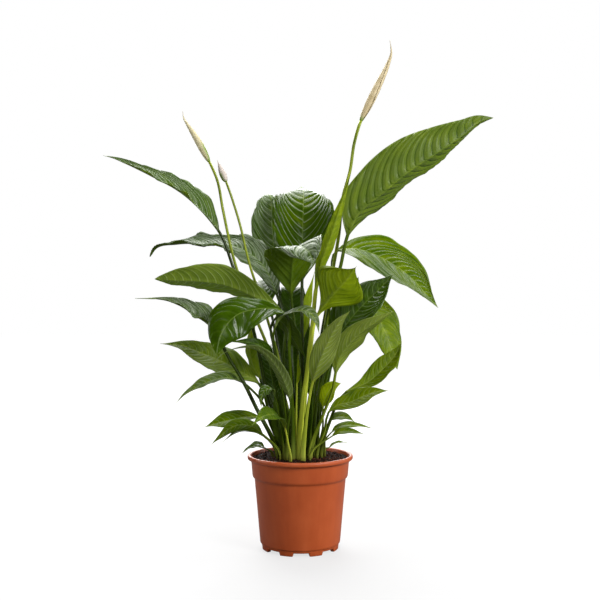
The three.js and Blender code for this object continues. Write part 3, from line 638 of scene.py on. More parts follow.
leaf("back_left", [-7, 34], [[-16, 44, 300], [-40, 92, 455]],
    [[-44, 104, 495], [-46, 120, 546], [-50, 140, 569], [-58, 162, 560], [-67, 182, 526]],
    37, 0, 0.3, 0.1, fold=-4, cup=-26, wave=3, widest=0.36, taper=1.7, spacing=11, sweep=1.3, quilt=1.2,
    crimp=0.2, rumple=0.6, frill=1.2, sheen=0.7, silver=1, haze=(0.4, 0.4))
leaf("back_top", [5, 31], [[3, 32, 300], [3, 44, 430]],
    [[3, 58, 490], [5, 76, 550], [5, 104, 576], [4, 136, 577], [3, 160, 577], [2, 174, 578],
    [2, 186, 582]],
    58, 0, 0.36, 0.15, fold=-2, cup=-15, wave=3, widest=0.47, taper=1.05, stalk=2.6, foot=3.7,
    spacing=15, sweep=1.5, quilt=1.3, crimp=0.2, rumple=0.7, frill=1.2, sheen=1, silver=1)
leaf("centre_cup", [-4, -10], [[0, -22, 250], [-4, -20, 320], [-12, -20, 380], [-15, -22, 406]],
    [[-14, -30, 436], [-12, -42, 463], [-8, -60, 482], [2, -80, 485], [14, -92, 476], [22, -102, 457]],
    48, 1, 0.16, 0.25, twist=25, wave=3, widest=0.55, taper=1, spacing=14, quilt=1.5, rumple=0.6,
    sheen=1, silver=1, haze=(0.95, 0.95))
leaf("right_arch", [19, 22], [[32, 24, 300], [51, 34, 420], [60, 38, 478]],
    [[85, 38, 482], [118, 38, 473], [155, 37, 453], [187, 34, 427], [205, 30, 406], [223, 26, 386]],
    49, 43, 0.46, 0.35, fold=10, widest=0.46, base=0.42, taper=1.25, spacing=12, sweep=1.6, quilt=1,
    sheen=0.8, silver=0.5, haze=(0, 0.6))
leaf("young", [4, -1], [[13, -13, 300], [21, -15, 370], [25, -16, 412]],
    [[33, -17, 455], [51, -18, 505], [64, -18, 546], [79, -18, 590]],
    11, -75, 0.66, 0.8, fold=20, wave=0.5, base=1.5, taper=1, stalk=3.3, foot=3.5, spacing=8, quilt=0.3,
    sheen=0.3, silver=0)
leaf("front_right_bright", [0, -27], [[5, -38, 240], [9, -39, 270], [17, -40, 320], [27, -42, 372]],
    [[38, -48, 388], [54, -56, 407.5], [72, -64, 428], [91, -72, 453]],
    47, -65, 0.68, 0.98, fold=24, widest=0.57, base=2.2, taper=2, stalk=2.6, foot=4.6, sheen=0.4,
    silver=0.1, haze=(0.12, 0.12))
leaf("right_dark", [21, -6], [[28, -17, 240], [42, -18, 300], [62, -19, 340]],
    [[84, -21, 371], [108, -23, 397], [131, -25, 419], [150, -26, 440]],
    40, 50, 0.2, 0.35, fold=8, widest=0.46, base=0.5, spacing=11, quilt=0.9, sheen=0.9, haze=(0.1, 0))
leaf("right_hidden", [27, 14], [[38, 6, 280], [54, 6, 335]],
    [[68, 7, 362], [80, 8, 388], [88, 8, 412], [94, 8, 436]],
    29, 60, 0.2, 0.3, fold=8, base=0.5, spacing=11, quilt=0.9, silver=0.2)
leaf("right_drooping", [27, 27], [[44, 30, 280], [60, 38, 340], [74, 41, 380], [88, 42, 396]],
    [[104, 42, 396], [120, 42, 380], [136, 41, 350], [148, 39, 317], [157, 37, 286]],
    36, 50, 0.62, 0.4, twist=10, fold=6, widest=0.42, base=0.8, taper=1, spacing=12, quilt=0.9,
    sheen=0.3, silver=0.2, groove=0.3)
leaf("right_grey", [16, -22], [[38, -35, 215], [53, -41, 255], [57, -43, 280]],
    [[63, -46, 304], [79, -50, 327], [100, -55, 348], [125, -59, 365], [150, -61, 380]],
    20, -56, 0.66, 0.55, fold=24, wave=2, foot=3, sweep=1.9, quilt=0.6, grey=0.7, silver=0.2,
    haze=(0.4, 0.4))
leaf("front_grey", [4, -38], [[8, -43, 190], [13, -48, 229], [20, -54, 266]],
    [[28, -66, 290], [45, -72, 330], [65, -78, 365], [81, -80, 381]],
    19, -68, 0.74, 0.7, fold=14, sweep=2.1, quilt=0.6, grey=1, silver=0.2, haze=(0.38, 0.38))
leaf("left_dark", [-11, -33], [[-12, -36, 190], [-15, -41, 260], [-18, -43, 318], [-23, -45, 374]],
    [[-32, -49, 382], [-52, -57, 385], [-74, -64, 383], [-97, -71, 377], [-116, -78, 362],
    [-129, -83, 340], [-135.5, -86, 308]],
    34, -62, 0.28, 0.35, fold=-12, wave=3, widest=0.6, taper=1.3, stalk=2.6, foot=3.9, spacing=18,
    quilt=0.5, sheen=1, silver=0, groove=0.25)

# middle leaves on the left
leaf("left_folded", [-35, -11], [[-45, -32, 175], [-70, -34, 222], [-90, -34, 263], [-124, -31, 322],
    [-133, -30, 345]],
    [[-150, -29, 362], [-175, -28, 378], [-190, -27, 388], [-208, -26, 396], [-234, -24, 401],
    [-267, -24, 401]],
    25.5, -35, 0.35, 0.15, fold=35, wave=2, waves=3.5, widest=0.22, taper=2.3, stalk=2.6, foot=3.8,
    sweep=1.6, quilt=1.7, crimp=0.5, rumple=1.1, frill=1.5, sheen=0.6, silver=1, haze=(1, 1))
leaf("left_bright", [-30, 23], [[-50, 0, 215], [-66, -3, 262]],
    [[-100, 0, 285], [-130, 3, 301], [-160, 6, 313], [-192, 9, 325], [-226, 11, 328]],
    28, -50, 0.6, 0.35, fold=8, widest=0.42, base=1.3, taper=1.5, foot=3, spacing=11, grey=0.2,
    haze=(0.2, 0.2))
leaf("left_arching", [-33, 13], [[-49, -10, 200], [-62, -14, 235], [-77, -19, 252], [-94, -24, 266]],
    [[-116, -30, 273], [-145, -32, 268], [-170, -33, 256], [-188, -33, 245], [-201, -33, 232]],
    13, -30, 0.4, 0.3, fold=20, wave=1, taper=1.5, stalk=1.8, foot=3.2, spacing=9, quilt=0.6, grey=0.5,
    haze=(0.3, 0.3))
small_leaf("left_edge_on", [-22, -35], [[-20, -50, 190], [-16, -56, 235]],
    [[-30, -60, 276], [-48, -64, 303], [-72, -68, 320], [-100, -70, 321], [-126, -71, 311],
    [-143, -72, 292]],
    12, 48, 0.3, 0.35, twist=-36, widest=0.3, taper=2.2, foot=2.8, quilt=0.4, grey=0.8, silver=1,
    haze=(1, 1))
small_leaf("left_band", [-27, -5], [[-37, -10, 240], [-47, -20, 286]],
    [[-52, -30, 314], [-60, -38, 322], [-74, -46, 328], [-95, -52, 331], [-115, -56, 331]],
    13, -50, 0.12, 0.25, foot=3, quilt=0.4, sheen=0.6, silver=0.1)
small_leaf("left_curled", [-26, -24], [[-34, -42, 200], [-40, -46, 240]],
    [[-48, -49, 255], [-58, -52, 251], [-63, -54, 238], [-63, -55, 224]],
    9, -35, 0.3, 0.35, wave=2, foot=2.6, spacing=6, quilt=0.8, frill=1, sheen=0.6, grey=0.3, silver=1)
leaf("left_inner", [-33, 32], [[-38, 26, 210], [-60, 36, 268]],
    [[-74, 40, 292], [-80, 43, 322], [-78, 46, 352], [-70, 48, 378]],
    16, 70, 0.6, 0.25, wave=1, taper=1.5, foot=3.2, spacing=9, quilt=0.6, sheen=0.4, silver=0.2)
leaf("centre_drooping", [-17, -14], [[-28, -26, 250], [-43, -26, 325], [-47, -25, 356],
    [-39, -26, 370]], [[-25, -27, 361], [-15, -29, 345], [-4, -32, 326], [9, -35, 304]],
    20, -71, 0.1, 0.25, fold=4, wave=1, base=0.7, taper=1.5, stalk=2, foot=3, spacing=9, quilt=0.7,
    sheen=0.6, grey=0.1, silver=0.2)
small_leaf("centre_arching", [-16, -24], [[-27, -38, 235], [-38, -50, 310], [-42, -57, 352]],
    [[-30, -61, 371], [-10, -65, 380], [12, -67, 380], [25, -69, 367], [31, -70, 343]],
    11, 28, 0.35, 0.35, widest=0.5, stalk=1.5, quilt=0.4, sheen=0.6, grey=0.8, silver=0.6,
    haze=(0.4, 0.4))
small_leaf("centre_young", [-6, -19], [[-6, -36, 220], [-5, -37, 262]],
    [[-4, -38, 280], [-4, -38, 296], [-3, -38, 310]],
    6, -80, 0.8, 0.9, fold=25, spacing=6, quilt=0.3, sheen=0.3, silver=0)
# the inner leaves take the darkest tints and dark stalks: painted shade of the clump's inside
small_leaf("inner_left", [-15, 6], [[-17, 7, 160]], [[-20, 7, 184], [-27, 6.5, 220], [-36, 6.5, 256]],
    11, 80, 0.03, 0.1, silver=0)
small_leaf("inner_front", [-27, -13], [[-29, -14, 160]],
    [[-31, -16, 182], [-36, -18, 212], [-43, -20, 246]],
    13, 75, 0.06, 0.2, silver=0)
small_leaf("inner_right", [9, -16], [[11, -19, 160]], [[13, -22, 184], [17, -25, 222], [22, -28, 258]],
    12, 75, 0.05, 0.2, silver=0)
small_leaf("inner_back", [2, 20], [[2, 20, 160]], [[2, 19, 184], [1, 19, 225], [-1, 19, 272]],
    13, 88, 0.02, 0.1, silver=0)

# low leaves on the left
leaf("low_left", [-38, 1], [[-50, -14, 185], [-62, -14, 207]],
    [[-82, -16, 210], [-106, -18, 206], [-132, -20, 200], [-155, -22, 193]],
    18, -35, 0.5, 0.5, wave=1, widest=0.54, taper=1.5, stalk=1.6, foot=2.8, spacing=9, quilt=0.6,
    grey=0.2)
small_leaf("low_front", [-15, -46], [[-20, -54, 168], [-24, -62, 190]],
    [[-32, -76, 206], [-42, -100, 213], [-55, -130, 212], [-67, -160, 206], [-78, -184, 196]],
    16, -35, 0.4, 0.8, grey=0.2)
small_leaf("low_narrow", [-31, -30], [[-60, -45, 181]],
    [[-74, -50, 192], [-94, -53, 197], [-112, -54, 192], [-128, -54, 179], [-145, -54, 164]],
    12, -48, 0.5, 0.5, fold=5, quilt=0.4, grey=0.2)
small_leaf("low_dark", [-37, -20], [[-60, -31, 179]],
    [[-78, -31, 187], [-100, -30, 186], [-126, -29, 169]],
    7, -20, 0.35, 0.35, quilt=0.4, grey=0.1)
small_leaf("rim_left", [-47, 8], [[-58, 2, 160]], [[-62, 2, 164], [-72, 2, 166], [-84, 2, 162]],
    8, -20, 0.3, 0.3, stalk=1, foot=2, spacing=7, quilt=0.3)
small_leaf("rim_tip", [-44, -5], [[-61, -13, 160]], [[-74, -13, 162], [-85, -13, 158], [-95, -13, 150]],
    6, -20, 0.35, 0.3, stalk=1, foot=2, spacing=7, quilt=0.3)

# middle and low leaves on the right
small_leaf("centre_back_bright", [5, 41], [[4, 46, 280], [5, 48, 335]],
    [[11, 50, 375], [16, 52, 410], [23, 52, 444]],
    13, -70, 0.85, 0.4, foot=2.8, sheen=0.3, silver=0.1)
leaf("right_long", [33, -8], [[49, -14, 205], [62, -15, 235], [75, -16, 250]],
    [[108, -16, 265], [136, -15, 289], [154, -14, 310], [164, -14, 330]],
    19, 55, 0.62, 0.45, fold=17, widest=0.55, base=1.1, foot=3, grey=0.1)
leaf("right_low", [26, -18], [[40, -29, 190], [46, -31, 217]],
    [[62, -34, 229], [82, -38, 234], [102, -41, 243], [122, -43, 250], [143, -44, 252]],
    18, 50, 0.6, 0.5, wave=1, widest=0.5, taper=1.5, stalk=1.8, foot=2.8, spacing=9, quilt=0.6,
    grey=0.1)
small_leaf("right_small", [30, 5], [[37, -6, 195], [37, -12, 226]],
    [[44, -14, 246], [53, -14, 259], [66, -14, 264]],
    17, 75, 1, 0.6, taper=1.2, foot=2.6, spacing=7, sheen=0.3, silver=0.1)
small_leaf("low_right_arch", [39, 0], [[50, -3, 204]], [[62, -1, 210], [75, 0, 209], [89, 0, 201]],
    11, 30, 0.45, 0.45, stalk=1, foot=2.4, spacing=7, quilt=0.3, grey=0.3, silver=0.4)
small_leaf("low_right_back", [34, 23], [[50, 16, 184]], [[66, 17, 195], [92, 17, 196], [118, 17, 191]],
    8, 30, 0.5, 0.45, stalk=1.1, foot=2.4, spacing=7, quilt=0.3, grey=0.2)
small_leaf("low_right_front", [15, -33], [[51, -38, 178]],
    [[62, -40, 185], [82, -42, 186], [104, -43, 182]],
    9, 30, 0.5, 0.55, stalk=1.1, foot=2.4, spacing=7, quilt=0.3, grey=0.2)
small_leaf("rim_right", [37, 33], [[46, 28, 160]], [[54, 28, 166], [65, 28, 169], [76, 28, 168]],
    4, 20, 0.4, 0.4, stalk=1, foot=2, spacing=7, quilt=0.3)

# leaves on the far side, their stalks made dark as painted shade
leaf("far_left_low", [-15, 40], [[-32, 54, 190], [-38, 62, 222]],
    [[-46, 84, 272], [-54, 112, 308], [-62, 142, 322], [-70, 168, 312], [-76, 186, 288]],
    29, 0, 0.1, 0.1, foot=3, sheen=0.6, silver=0.4)
leaf("far_left_high", [-24, 36], [[-40, 66, 345], [-50, 82, 390]],
    [[-60, 106, 418], [-70, 134, 430], [-80, 162, 420], [-90, 182, 398]],
    24, 0, 0.2, 0.12, sheen=0.6, silver=0.4)
leaf("far_middle", [-3, 50], [[-6, 58, 190], [-8, 64, 236]],
    [[-11, 80, 310], [-13, 104, 375], [-12, 134, 417], [-11, 164, 408], [-9, 186, 372]],
    31, 0, 0.08, 0.1, taper=1.1, foot=3, sheen=0.6, silver=0.1)
leaf("far_right_low", [24, 40], [[26, 54, 190], [26, 62, 226]],
    [[28, 84, 276], [31, 110, 312], [33, 138, 326], [36, 166, 318], [40, 188, 294]],
    26, 0, 0.1, 0.1, foot=3, sheen=0.6, silver=0.4)
leaf("far_right_high", [14, 41], [[28, 54, 300], [40, 70, 375], [45, 80, 400]],
    [[53, 106, 425], [56, 134, 438], [57, 162, 430], [56, 184, 408]],
    19, 0, 0.2, 0.12, sheen=0.6, silver=0.4)

for number, shape in enumerate(leaves):
    make_leaf(number, shape)


# ---------- blooms ----------
CREAMS = [(0.0, (212, 200, 190)), (0.5, (218, 208, 168)), (1.0, (208, 190, 154))]
DARK_CREAMS = [(0.0, (180, 168, 160)), (0.5, (190, 176, 124)), (1.0, (166, 142, 92))]
SPATHE_GREEN = linear(118, 146, 40)
SPATHE_BROWN = linear(150, 120, 70)
SPATHE_THROUGH = 0.2


def make_spathe_material():
    s = Shader("spathe_tissue")
    along, round_it, ridge = s.parts("spathe_place")
    warm, green, brown = s.parts("spathe_look")
    fibre = s.streaks(round_it, along, warm, (7.0, 2.0), 2.0)
    cloud = s.noise(s.place(), 90.0, 2.0)
    shade = s.plus(s.span(fibre, 0.35, 0.7, 0.0, 0.45), s.span(cloud, 0.35, 0.7, 0.0, 0.3))
    shade = s.plus(shade, s.span(ridge, 0.0, 0.02, 0.0, -0.25), clamp=True)
    colour = s.mix(shade, s.ramp(warm, CREAMS), s.ramp(warm, DARK_CREAMS))
    colour = s.mix(green, colour, SPATHE_GREEN)
    colour = s.mix(brown, colour, SPATHE_BROWN)
    s.let_through(SPATHE_THROUGH, Color=colour)
    return s.finish(colour, s.span(fibre, 0.2, 0.8, 0.46, 0.62))


SPATHE_MATERIAL = make_spathe_material()
BLOOM_COLUMNS = 14
SPATHE_COLUMNS = 34
SPATHE_ROWS = 80
SPATHE_START = 0.5  # how far over the stalk's end the spathe starts
SPATHE_THICK = 0.3
WRAP = 1.3  # turns of the rolled spathe

PLAIN_BLOOM = dict(
    stalk=2.2, foot=2.8, roll=0, stem_tint=0.65,
    ridges=9,
    edge=-1.2,  # where the free edge starts, an angle round the stalk
    wind=1.6,  # how far it winds on up to the tip
    back=2.2,  # angle of the middle of the green stripe
    green=0.4,  # how far up the stripe reaches
    warm=0.5,  # 0 pinkish, 0.5 yellowish, 1 tan
)
blooms = []


def bloom(name, root, stem, blade, half, **form):
    """Notes down one bloom, written as a leaf is, with the spathe as its blade."""
    given = dict(name=name, root=root, stem=stem, blade=blade, half=half)
    blooms.append({**PLAIN_BLOOM, **given, **form})


def spathe_outline(s):
    return 0.38 * (1 - s) ** 2 + np.clip(np.sin(np.pi * s**0.7), 0, 1) ** 1.1


def make_flower_stalk(shape, stalk):
    rings, place, kind = stem_rings(shape, stalk, BLOOM_COLUMNS, 0.0)
    look = np.broadcast_to([0.5, shape["stem_tint"], 0.5], rings.shape)
    name = f"flower_stalk_{shape['name']}"
    vectors = dict(leaf_place=place, leaf_kind=kind, leaf_look=look)
    replace(skin(f"{name}_green", rings, SATIN_LEAF, **vectors), "stalk_tissue", name)


def make_spathe(shape, stalk):
    """A sheet rolled up round the stalk's line, with its outer edge free."""
    s = np.linspace(0, 1, SPATHE_ROWS)[:, None]
    distance = stalk.neck - SPATHE_START + s * (stalk.length - stalk.neck + SPATHE_START)
    point, side, top = stalk.frame(distance, 0.0)
    a = np.linspace(0, 1, SPATHE_COLUMNS)[None, :]
    radius = np.maximum(0.4, shape["half"] * spathe_outline(s))
    ridges = 0.02 * np.sin(2 * np.pi * (shape["ridges"] * s + 0.8 * a)) * np.sin(np.pi * s)
    reach = radius * (0.8 + 0.2 * a + 0.1 * smooth_step((a - 0.88) / 0.12) + ridges)
    angle = shape["edge"] + 2 * np.pi * WRAP * (a - 1) + shape["wind"] * s
    thick = np.minimum(SPATHE_THICK, 0.1 * radius)

    def rolled(reach):
        across, up = reach * np.cos(angle), reach * np.sin(angle)
        return point + side * across[..., None] + top * up[..., None]

    rings = there_and_back(rolled(reach), rolled(reach - thick))
    back = np.angle(np.exp(1j * (angle - shape["back"])))
    green = np.exp(-((back / 0.7) ** 2)) * smooth_step((shape["green"] - s) / 0.2)
    green = np.clip(green + smooth_step((0.08 - s) / 0.08), 0, 1)
    brown = smooth_step((s - 0.93) / 0.07) * 0.6
    place, look = both_faces(s, a, ridges), both_faces(shape["warm"], green, brown)
    name = f"spathe_{shape['name']}"
    vectors = dict(spathe_place=place, spathe_look=look)
    replace(skin(f"{name}_rolled", rings, SPATHE_MATERIAL, **vectors), "spathe_tissue", name)


bloom("left_tall", [-10, 13], [[-44, 20, 300], [-76, 19, 380], [-103, 17, 450], [-125, 17, 545],
    [-135, 17, 595], [-147, 17, 622]],
    [[-157, 17, 641], [-169, 17, 662], [-182, 17, 682], [-188, 17, 692], [-190, 17, 703]],
    5.2, green=0.42)
bloom("left_short", [-1, 10], [[-34, 19, 300], [-60, 19, 390], [-80, 17, 450], [-100, 18, 530],
    [-120, 19, 590]], [[-124, 19, 600], [-128, 19, 609], [-131, 19, 617], [-134, 19, 624]],
    5.2, stalk=1.9, back=-2.2, green=0.55, warm=0)
bloom("right_tall", [10, 17], [[24, 10, 250], [41, 10, 358], [52, 8, 442], [62, 8, 500], [69, 9, 565],
    [80, 12, 605], [88, 12, 655], [98, 12, 688]],
    [[111, 12, 715], [127, 12, 748], [141, 12, 778], [147, 12, 797], [145, 12, 818]],
    6.2, stalk=2.6, foot=3.3, green=0.2, warm=0.85)

for shape in blooms:
    line = Stalk(shape["root"], shape["stem"], shape["blade"])
    make_flower_stalk(shape, line)
    make_spathe(shape, line)

# ---------- pot ----------
TERRACOTTAS = [(0.3, (152, 64, 26)), (0.5, (165, 74, 33)), (0.7, (177, 84, 41))]
POT_SPECK = linear(120, 54, 34)
POT_SPECULAR = 0.35


def make_pot_material():
    s = Shader("pot_plastic", Specular_IOR_Level=POT_SPECULAR)
    place = s.place()
    cloud = s.noise(place, 14.0, 4.0)
    streak = s.noise(s.scaled(place, (60.0, 60.0, 6.0)), 1.0, 3.0)
    speck = s.noise(place, 900.0, 2.0)
    colour = s.ramp(s.plus(s.times(cloud, 0.6), s.times(streak, 0.4)), TERRACOTTAS)
    colour = s.mix(s.span(speck, 0.62, 0.8, 0.0, 0.25), colour, POT_SPECK)
    wear = s.plus(s.times(cloud, 0.5), s.times(streak, 0.5))
    grain = s.plus(s.times(speck, 0.5), streak)
    return s.finish(colour, s.span(wear, 0.3, 0.7, 0.34, 0.46), s.bump(grain, 0.18, 0.0003))


POT_PROFILE = [  # radius and height, from the floor's middle up the inside and down the outside
    (0.3, 8.2), (60.6, 8.2), (61.4, 8.6), (62.9, 11), (72.1, 112.6), (75.6, 118), (77.4, 139.5),
    (78.9, 146), (79.3, 147.9), (80.1, 149), (81.3, 149.45), (82.6, 149.5), (83.8, 149.1),
    (84.6, 148.2), (84.95, 147.1), (85, 145.6), (84.9, 144.4), (84.5, 143.3), (83.7, 142.6),
    (82.6, 142.3), (81, 142.2), (80, 141.8), (79.4, 141), (79.1, 140), (78.9, 138.6),
    (78.0, 128), (77.15, 118.2), (76.9, 116.4), (76.3, 114.9), (75.4, 113.7), (74.5, 112.7),
    (73.9, 111.9), (73.6, 110.8), (73.35, 108.5), (70.5, 78), (67.5, 44), (64.75, 13),
    (64.5, 11), (64.25, 9.9), (63.8, 9.4), (63.2, 9.1), (62.85, 8.5), (62.7, 7.6),
]
# the skirt's lower edge, outside and inside: past its face, and above foot_heights
SKIRT_OUTSIDE = [(0.35, 1.2), (0.1, 0.4), (-0.4, 0)]
SKIRT_INSIDE = [(0.5, 0), (0.05, 0.4)]
FLOOR_CORNER = [(0, 6.3), (-0.6, POT_FLOOR_Z)]  # past the skirt's inner face, and height
MIDDLE_RADIUS = 0.3  # of the small ring that closes a round surface in its middle
POT_ANGLES = 288


def foot_heights(angle):
    """How high the skirt's lower edge is: 0 under a foot, NOTCH_TOP_Z between two feet."""
    half_step = FOOT_STEP / 2
    turn = (angle - FOOT_TURN - np.pi / 2 + half_step) % FOOT_STEP - half_step
    from_notch = np.abs(turn) * FOOT_RADIUS
    slant = NOTCH_HALF_LOW - NOTCH_HALF_HIGH
    return NOTCH_TOP_Z * np.clip((NOTCH_HALF_LOW - from_notch) / slant, 0, 1)


def pot_angles():
    """Even steps round the pot, with more where a foot begins and ends."""
    notches = FOOT_TURN + np.pi / 2 + np.arange(FOOT_COUNT) * FOOT_STEP
    corners = [
        notches + hand * reach / FOOT_RADIUS
        for hand in (-1, 1)
        for reach in (NOTCH_HALF_HIGH, NOTCH_HALF_LOW)
    ]
    angles = np.concatenate([np.arange(POT_ANGLES) * 2 * np.pi / POT_ANGLES, *corners])
    return np.sort(angles % (2 * np.pi))


def round_ring(radius, angle, height):
    return packed(radius * np.cos(angle), radius * np.sin(angle), height)


def make_pot():
    angle = pot_angles()
    low = foot_heights(angle)
    inner = FOOT_RADIUS - FOOT_DEPTH
    rows = POT_PROFILE + [(FOOT_RADIUS + out, low + up) for out, up in SKIRT_OUTSIDE]
    rows += [(inner + out, low + up) for out, up in SKIRT_INSIDE]
    rows += [(inner + out, height) for out, height in FLOOR_CORNER]
    rows += [(MIDDLE_RADIUS, POT_FLOOR_Z)]
    rings = np.array([round_ring(radius, angle, height) for radius, height in rows])
    replace(skin("pot_shell", rings[:, ::-1], make_pot_material()), "pot_plastic", "nursery_pot")


make_pot()

# ---------- soil ----------
SOIL_BROWNS = [(0.3, (6, 4, 3)), (0.5, (24, 14, 10)), (0.7, (52, 30, 22))]
SOIL_SHADE = linear(8, 5, 4)
SOIL_WARM = linear(92, 50, 34)
SOIL_PALE = linear(196, 176, 150)
SOIL_SPECULAR = 0.08
SOIL_AROUND = 220
SOIL_RINGS = 66
SOIL_UNDERSIDE = (76.6, 136.0)  # radius and height
SOIL_FALL_RADIUS = 70  # from here the soil falls off to the pot's wall
SOIL_FALL = 2.0
LUMP_SIZE, LUMP_RISE = 14, 1.5
GRIT_SIZE, GRIT_RISE = 1.7, 0.5
CRUMB_COUNT = 1500
BARK_COUNT = 130
CRUMB_REACH = 75.6
CRUMB_SEED = 7
BARK_LEAST = (1.6, 0.7, 0.35)  # a bark chip's length, width and height as shares of a crumb's
BARK_MOST = (3.2, 1.1, 0.6)


def make_soil_material():
    s = Shader("potting_mix", Specular_IOR_Level=SOIL_SPECULAR)
    shade, warm, pale = s.parts("soil_look")
    place = s.place()
    cloud = s.noise(place, 90.0, 5.0, 0.7)
    fine = s.noise(place, 700.0, 4.0, 0.7)
    colour = s.ramp(s.plus(s.times(cloud, 0.5), s.times(fine, 0.5)), SOIL_BROWNS)
    for share, tint in ((shade, SOIL_SHADE), (warm, SOIL_WARM), (pale, SOIL_PALE)):
        colour = s.mix(share, colour, tint)
    return s.finish(colour, s.span(fine, 0.3, 0.7, 0.8, 1.0), s.bump(fine, 0.8, 0.0012))


SOIL_MATERIAL = make_soil_material()


def soil_height(x, y):
    radius = math.hypot(x, y)
    level = SOIL_TOP - 1 + CROWN_RISE * (1 - radius / SOIL_FALL_RADIUS)
    edge = (radius - SOIL_FALL_RADIUS) / (SOIL_EDGE_RADIUS - SOIL_FALL_RADIUS)
    level -= SOIL_FALL * max(0.0, edge) ** 1.5
    lumps = noise.fractal(Vector((x / LUMP_SIZE, y / LUMP_SIZE, 3.7)), 0.9, 2.2, 5)
    grit = noise.noise(Vector((x / GRIT_SIZE, y / GRIT_SIZE, 8.1)))
    return level + LUMP_RISE * lumps + GRIT_RISE * grit


def soil_heights(x, y):
    return np.array([soil_height(*pair) for pair in zip(x, y)])


def make_soil():
    angle = np.linspace(0, 2 * np.pi, SOIL_AROUND, endpoint=False)
    radius, height = SOIL_UNDERSIDE
    rings = [round_ring(MIDDLE_RADIUS, angle, height), round_ring(radius, angle, height)]
    for radius in np.linspace(SOIL_EDGE_RADIUS, MIDDLE_RADIUS, SOIL_RINGS):
        heights = soil_heights(radius * np.cos(angle), radius * np.sin(angle))
        rings.append(round_ring(radius, angle, heights))
    rings = np.array(rings)
    piece = skin("soil_surface", rings, SOIL_MATERIAL, soil_look=np.zeros_like(rings))
    replace(piece, "potting_mix", "potting_soil")


def ball():
    """The points and triangles of a small rounded lump of radius 1."""
    golden = (1 + 5**0.5) / 2
    signs = [(a, b * golden) for a in (-1, 1) for b in (-1, 1)]
    corners = [(0, a, b) for a, b in signs]
    corners += [(a, b, 0) for a, b in signs]
    corners += [(b, 0, a) for a, b in signs]
    points = unit(np.array(corners, dtype=float))
    near = np.linalg.norm(points[:, None] - points[None], axis=-1)
    triangles = []
    for a, b, c in itertools.combinations(range(12), 3):
        if max(near[a, b], near[b, c], near[c, a]) < 1.2:
            across = np.cross(points[b] - points[a], points[c] - points[a])
            triangles.append((a, c, b) if np.dot(across, points[a]) < 0 else (a, b, c))
    # each triangle is split in four
    middles = {}
    points = list(points)

    def middle(a, b):
        key = (min(a, b), max(a, b))
        if key not in middles:
            middles[key] = len(points)
            points.append(unit(points[a] + points[b]))
        return middles[key]

    split = []
    for a, b, c in triangles:
        d, e, f = middle(a, b), middle(b, c), middle(c, a)
        split += [(a, d, f), (d, b, e), (f, e, c), (d, e, f)]
    return np.array(points), np.array(split)


def turned_at_random(rng, count):
    """Random rotations as matrices."""
    w, x, y, z = unit(rng.normal(size=(count, 4))).T
    rows = [
        [1 - 2 * (y * y + z * z), 2 * (x * y - z * w), 2 * (x * z + y * w)],
        [2 * (x * y + z * w), 1 - 2 * (x * x + z * z), 2 * (y * z - x * w)],
        [2 * (x * z - y * w), 2 * (y * z + x * w), 1 - 2 * (x * x + y * y)],
    ]
    return np.moveaxis(np.array(rows), -1, 0)


def make_crumbs():
    """Loose crumbs and bark chips on the soil, some darker, some warmer and a few pale."""
    rng = np.random.default_rng(CRUMB_SEED)
    points, triangles = ball()
    count = CRUMB_COUNT + BARK_COUNT
    radius = CRUMB_REACH * np.sqrt(rng.uniform(0.02, 1, count))
    angle = rng.uniform(0, 2 * np.pi, count)
    size = 0.5 + 1.1 * rng.uniform(0, 1, count) ** 2.5
    shape = rng.uniform(0.6, 1.2, (count, 3)) * size[:, None]
    bark = np.arange(count) >= CRUMB_COUNT
    shape[bark] *= rng.uniform(BARK_LEAST, BARK_MOST, (BARK_COUNT, 3))
    lumps = points[None] * (1 + 0.22 * rng.normal(size=(count, len(points), 1)))
    lumps = lumps * shape[:, None]
    turn = turned_at_random(rng, count)
    lift = rng.uniform(-0.5, 0.5, count)
    lumps = np.einsum("nij,nkj->nki", turn, lumps)
    x, y = radius * np.cos(angle), radius * np.sin(angle)
    z = soil_heights(x, y) + 0.25 * size + 0.2 * lift
    lumps = lumps + packed(x, y, z)[:, None]

    tone = rng.uniform(0, 1, count)
    look = np.zeros((count, len(points), 3))
    look[..., 0] = np.where(tone < 0.45, 0.6, 0.0)[:, None]
    warm = np.where(tone > 0.72, 0.75, 0.1) * (0.5 + 0.5 * rng.uniform(0, 1, count))
    look[..., 1] = warm[:, None]
    look[..., 2] = np.where(rng.uniform(0, 1, count) > 0.985, 0.9, 0.0)[:, None]
    faces = (triangles[None] + (np.arange(count) * len(points))[:, None, None]).reshape(-1, 3)
    look = look.reshape(-1, 3)
    piece = new_mesh("soil_crumbs", lumps.reshape(-1, 3), faces, SOIL_MATERIAL, soil_look=look)
    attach(piece, "root")


make_soil()
make_crumbs()

# ---------- stage ----------
FLOOR_RADIUS = 9000.0
FLOOR_SIDES = 96
FLOOR_GREYS = [(0.3, (96, 96, 96)), (0.7, (100, 100, 100))]
FLOOR_NEAR = 0.71  # brightness that the floor has of itself at the pot and far off
FLOOR_FAR = 1.0
WORLD_LIGHT = 0.05
LIGHTS = [  # name, place, height on the pot's axis that it aims at, size, all in metres, and power
    ("key_light", (1.5, -1.4, 1.3), 0.3, 0.9, 60),
    ("front_light", (-0.5, -2.6, 1.2), 0.4, 1.2, 18),
    ("top_light", (-0.2, 0.5, 2.0), 0.4, 1.5, 50),
    ("high_back_light", (-0.3, 1.8, 1.5), 0.4, 2.0, 60),
    ("left_light", (-1.9, 0.1, 0.8), 0.35, 1.0, 12),
    ("right_light", (1.9, 0.3, 0.8), 0.35, 1.0, 14),
    ("back_light", (0, 2.3, 1.0), 0.4, 2.6, 24),
]


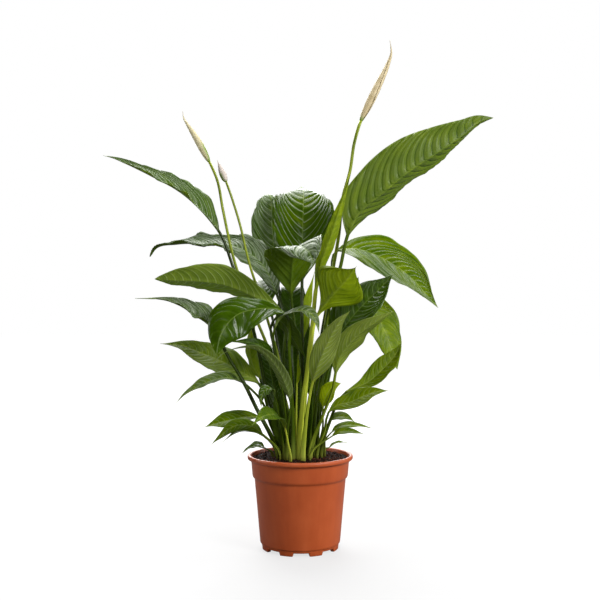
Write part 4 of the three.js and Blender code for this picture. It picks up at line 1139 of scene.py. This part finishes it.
def make_floor():
    s = Shader("studio_floor", Specular_IOR_Level=0.1, Emission_Color=(1, 1, 1, 1))
    place = s.place()
    far = s.node("ShaderNodeVectorMath", {0: place}, operation="LENGTH").outputs["Value"]
    white = s.span(far, 0.3, 1.6, FLOOR_NEAR, FLOOR_FAR, smooth=True)
    rays = s.node("ShaderNodeLightPath").outputs["Is Camera Ray"]
    s.put(s.surface, "Emission Strength", s.times(rays, white))
    s.finish(s.ramp(s.noise(place, 2.0, 3.0), FLOOR_GREYS), 0.9)
    side = np.arange(FLOOR_SIDES)
    corners = round_ring(FLOOR_RADIUS, 2 * np.pi * side / FLOOR_SIDES, 0)
    new_mesh("studio_floor", corners, side[None], s.material)


def make_light(name, place, aim_height, size, power):
    lamp = bpy.data.lights.new(name, "AREA")
    lamp.shape = "DISK"
    lamp.size = size
    lamp.energy = power
    light = bpy.data.objects.new(name, lamp)
    light.location = place
    aim = Vector((0, 0, aim_height)) - Vector(place)
    light.rotation_euler = aim.to_track_quat("-Z", "Y").to_euler()
    light.visible_camera = False
    bpy.context.collection.objects.link(light)


def make_world():
    """A white background for the camera, which lights the plant only a little."""
    world = bpy.data.worlds.new("studio")
    bpy.context.scene.world = world
    world.use_nodes = True
    nodes, links = world.node_tree.nodes, world.node_tree.links
    background = nodes["Background"]
    rays = nodes.new("ShaderNodeLightPath")
    strength = nodes.new("ShaderNodeMapRange")
    links.new(rays.outputs["Is Camera Ray"], strength.inputs["Value"])
    strength.inputs["To Min"].default_value = WORLD_LIGHT
    strength.inputs["To Max"].default_value = 1.0
    background.inputs["Color"].default_value = (1, 1, 1, 1)
    links.new(strength.outputs[0], background.inputs["Strength"])


make_floor()
make_world()
for light in LIGHTS:
    make_light(*light)

# ---------- camera ----------
LENS = 55.21
SENSOR = 36.0
SHIFT_X = -0.0003
SHIFT_Y = -0.00167

view = bpy.data.cameras.new("camera")
view.lens = LENS
view.sensor_width = SENSOR
view.shift_x = SHIFT_X
view.shift_y = SHIFT_Y
camera = bpy.data.objects.new("camera", view)
camera.location = (0, -EYE_DISTANCE * MM, EYE_HEIGHT * MM)
camera.rotation_euler = (math.pi / 2, 0, 0)
bpy.context.collection.objects.link(camera)
bpy.context.scene.camera = camera
bpy.context.scene.view_settings.view_transform = "Standard"
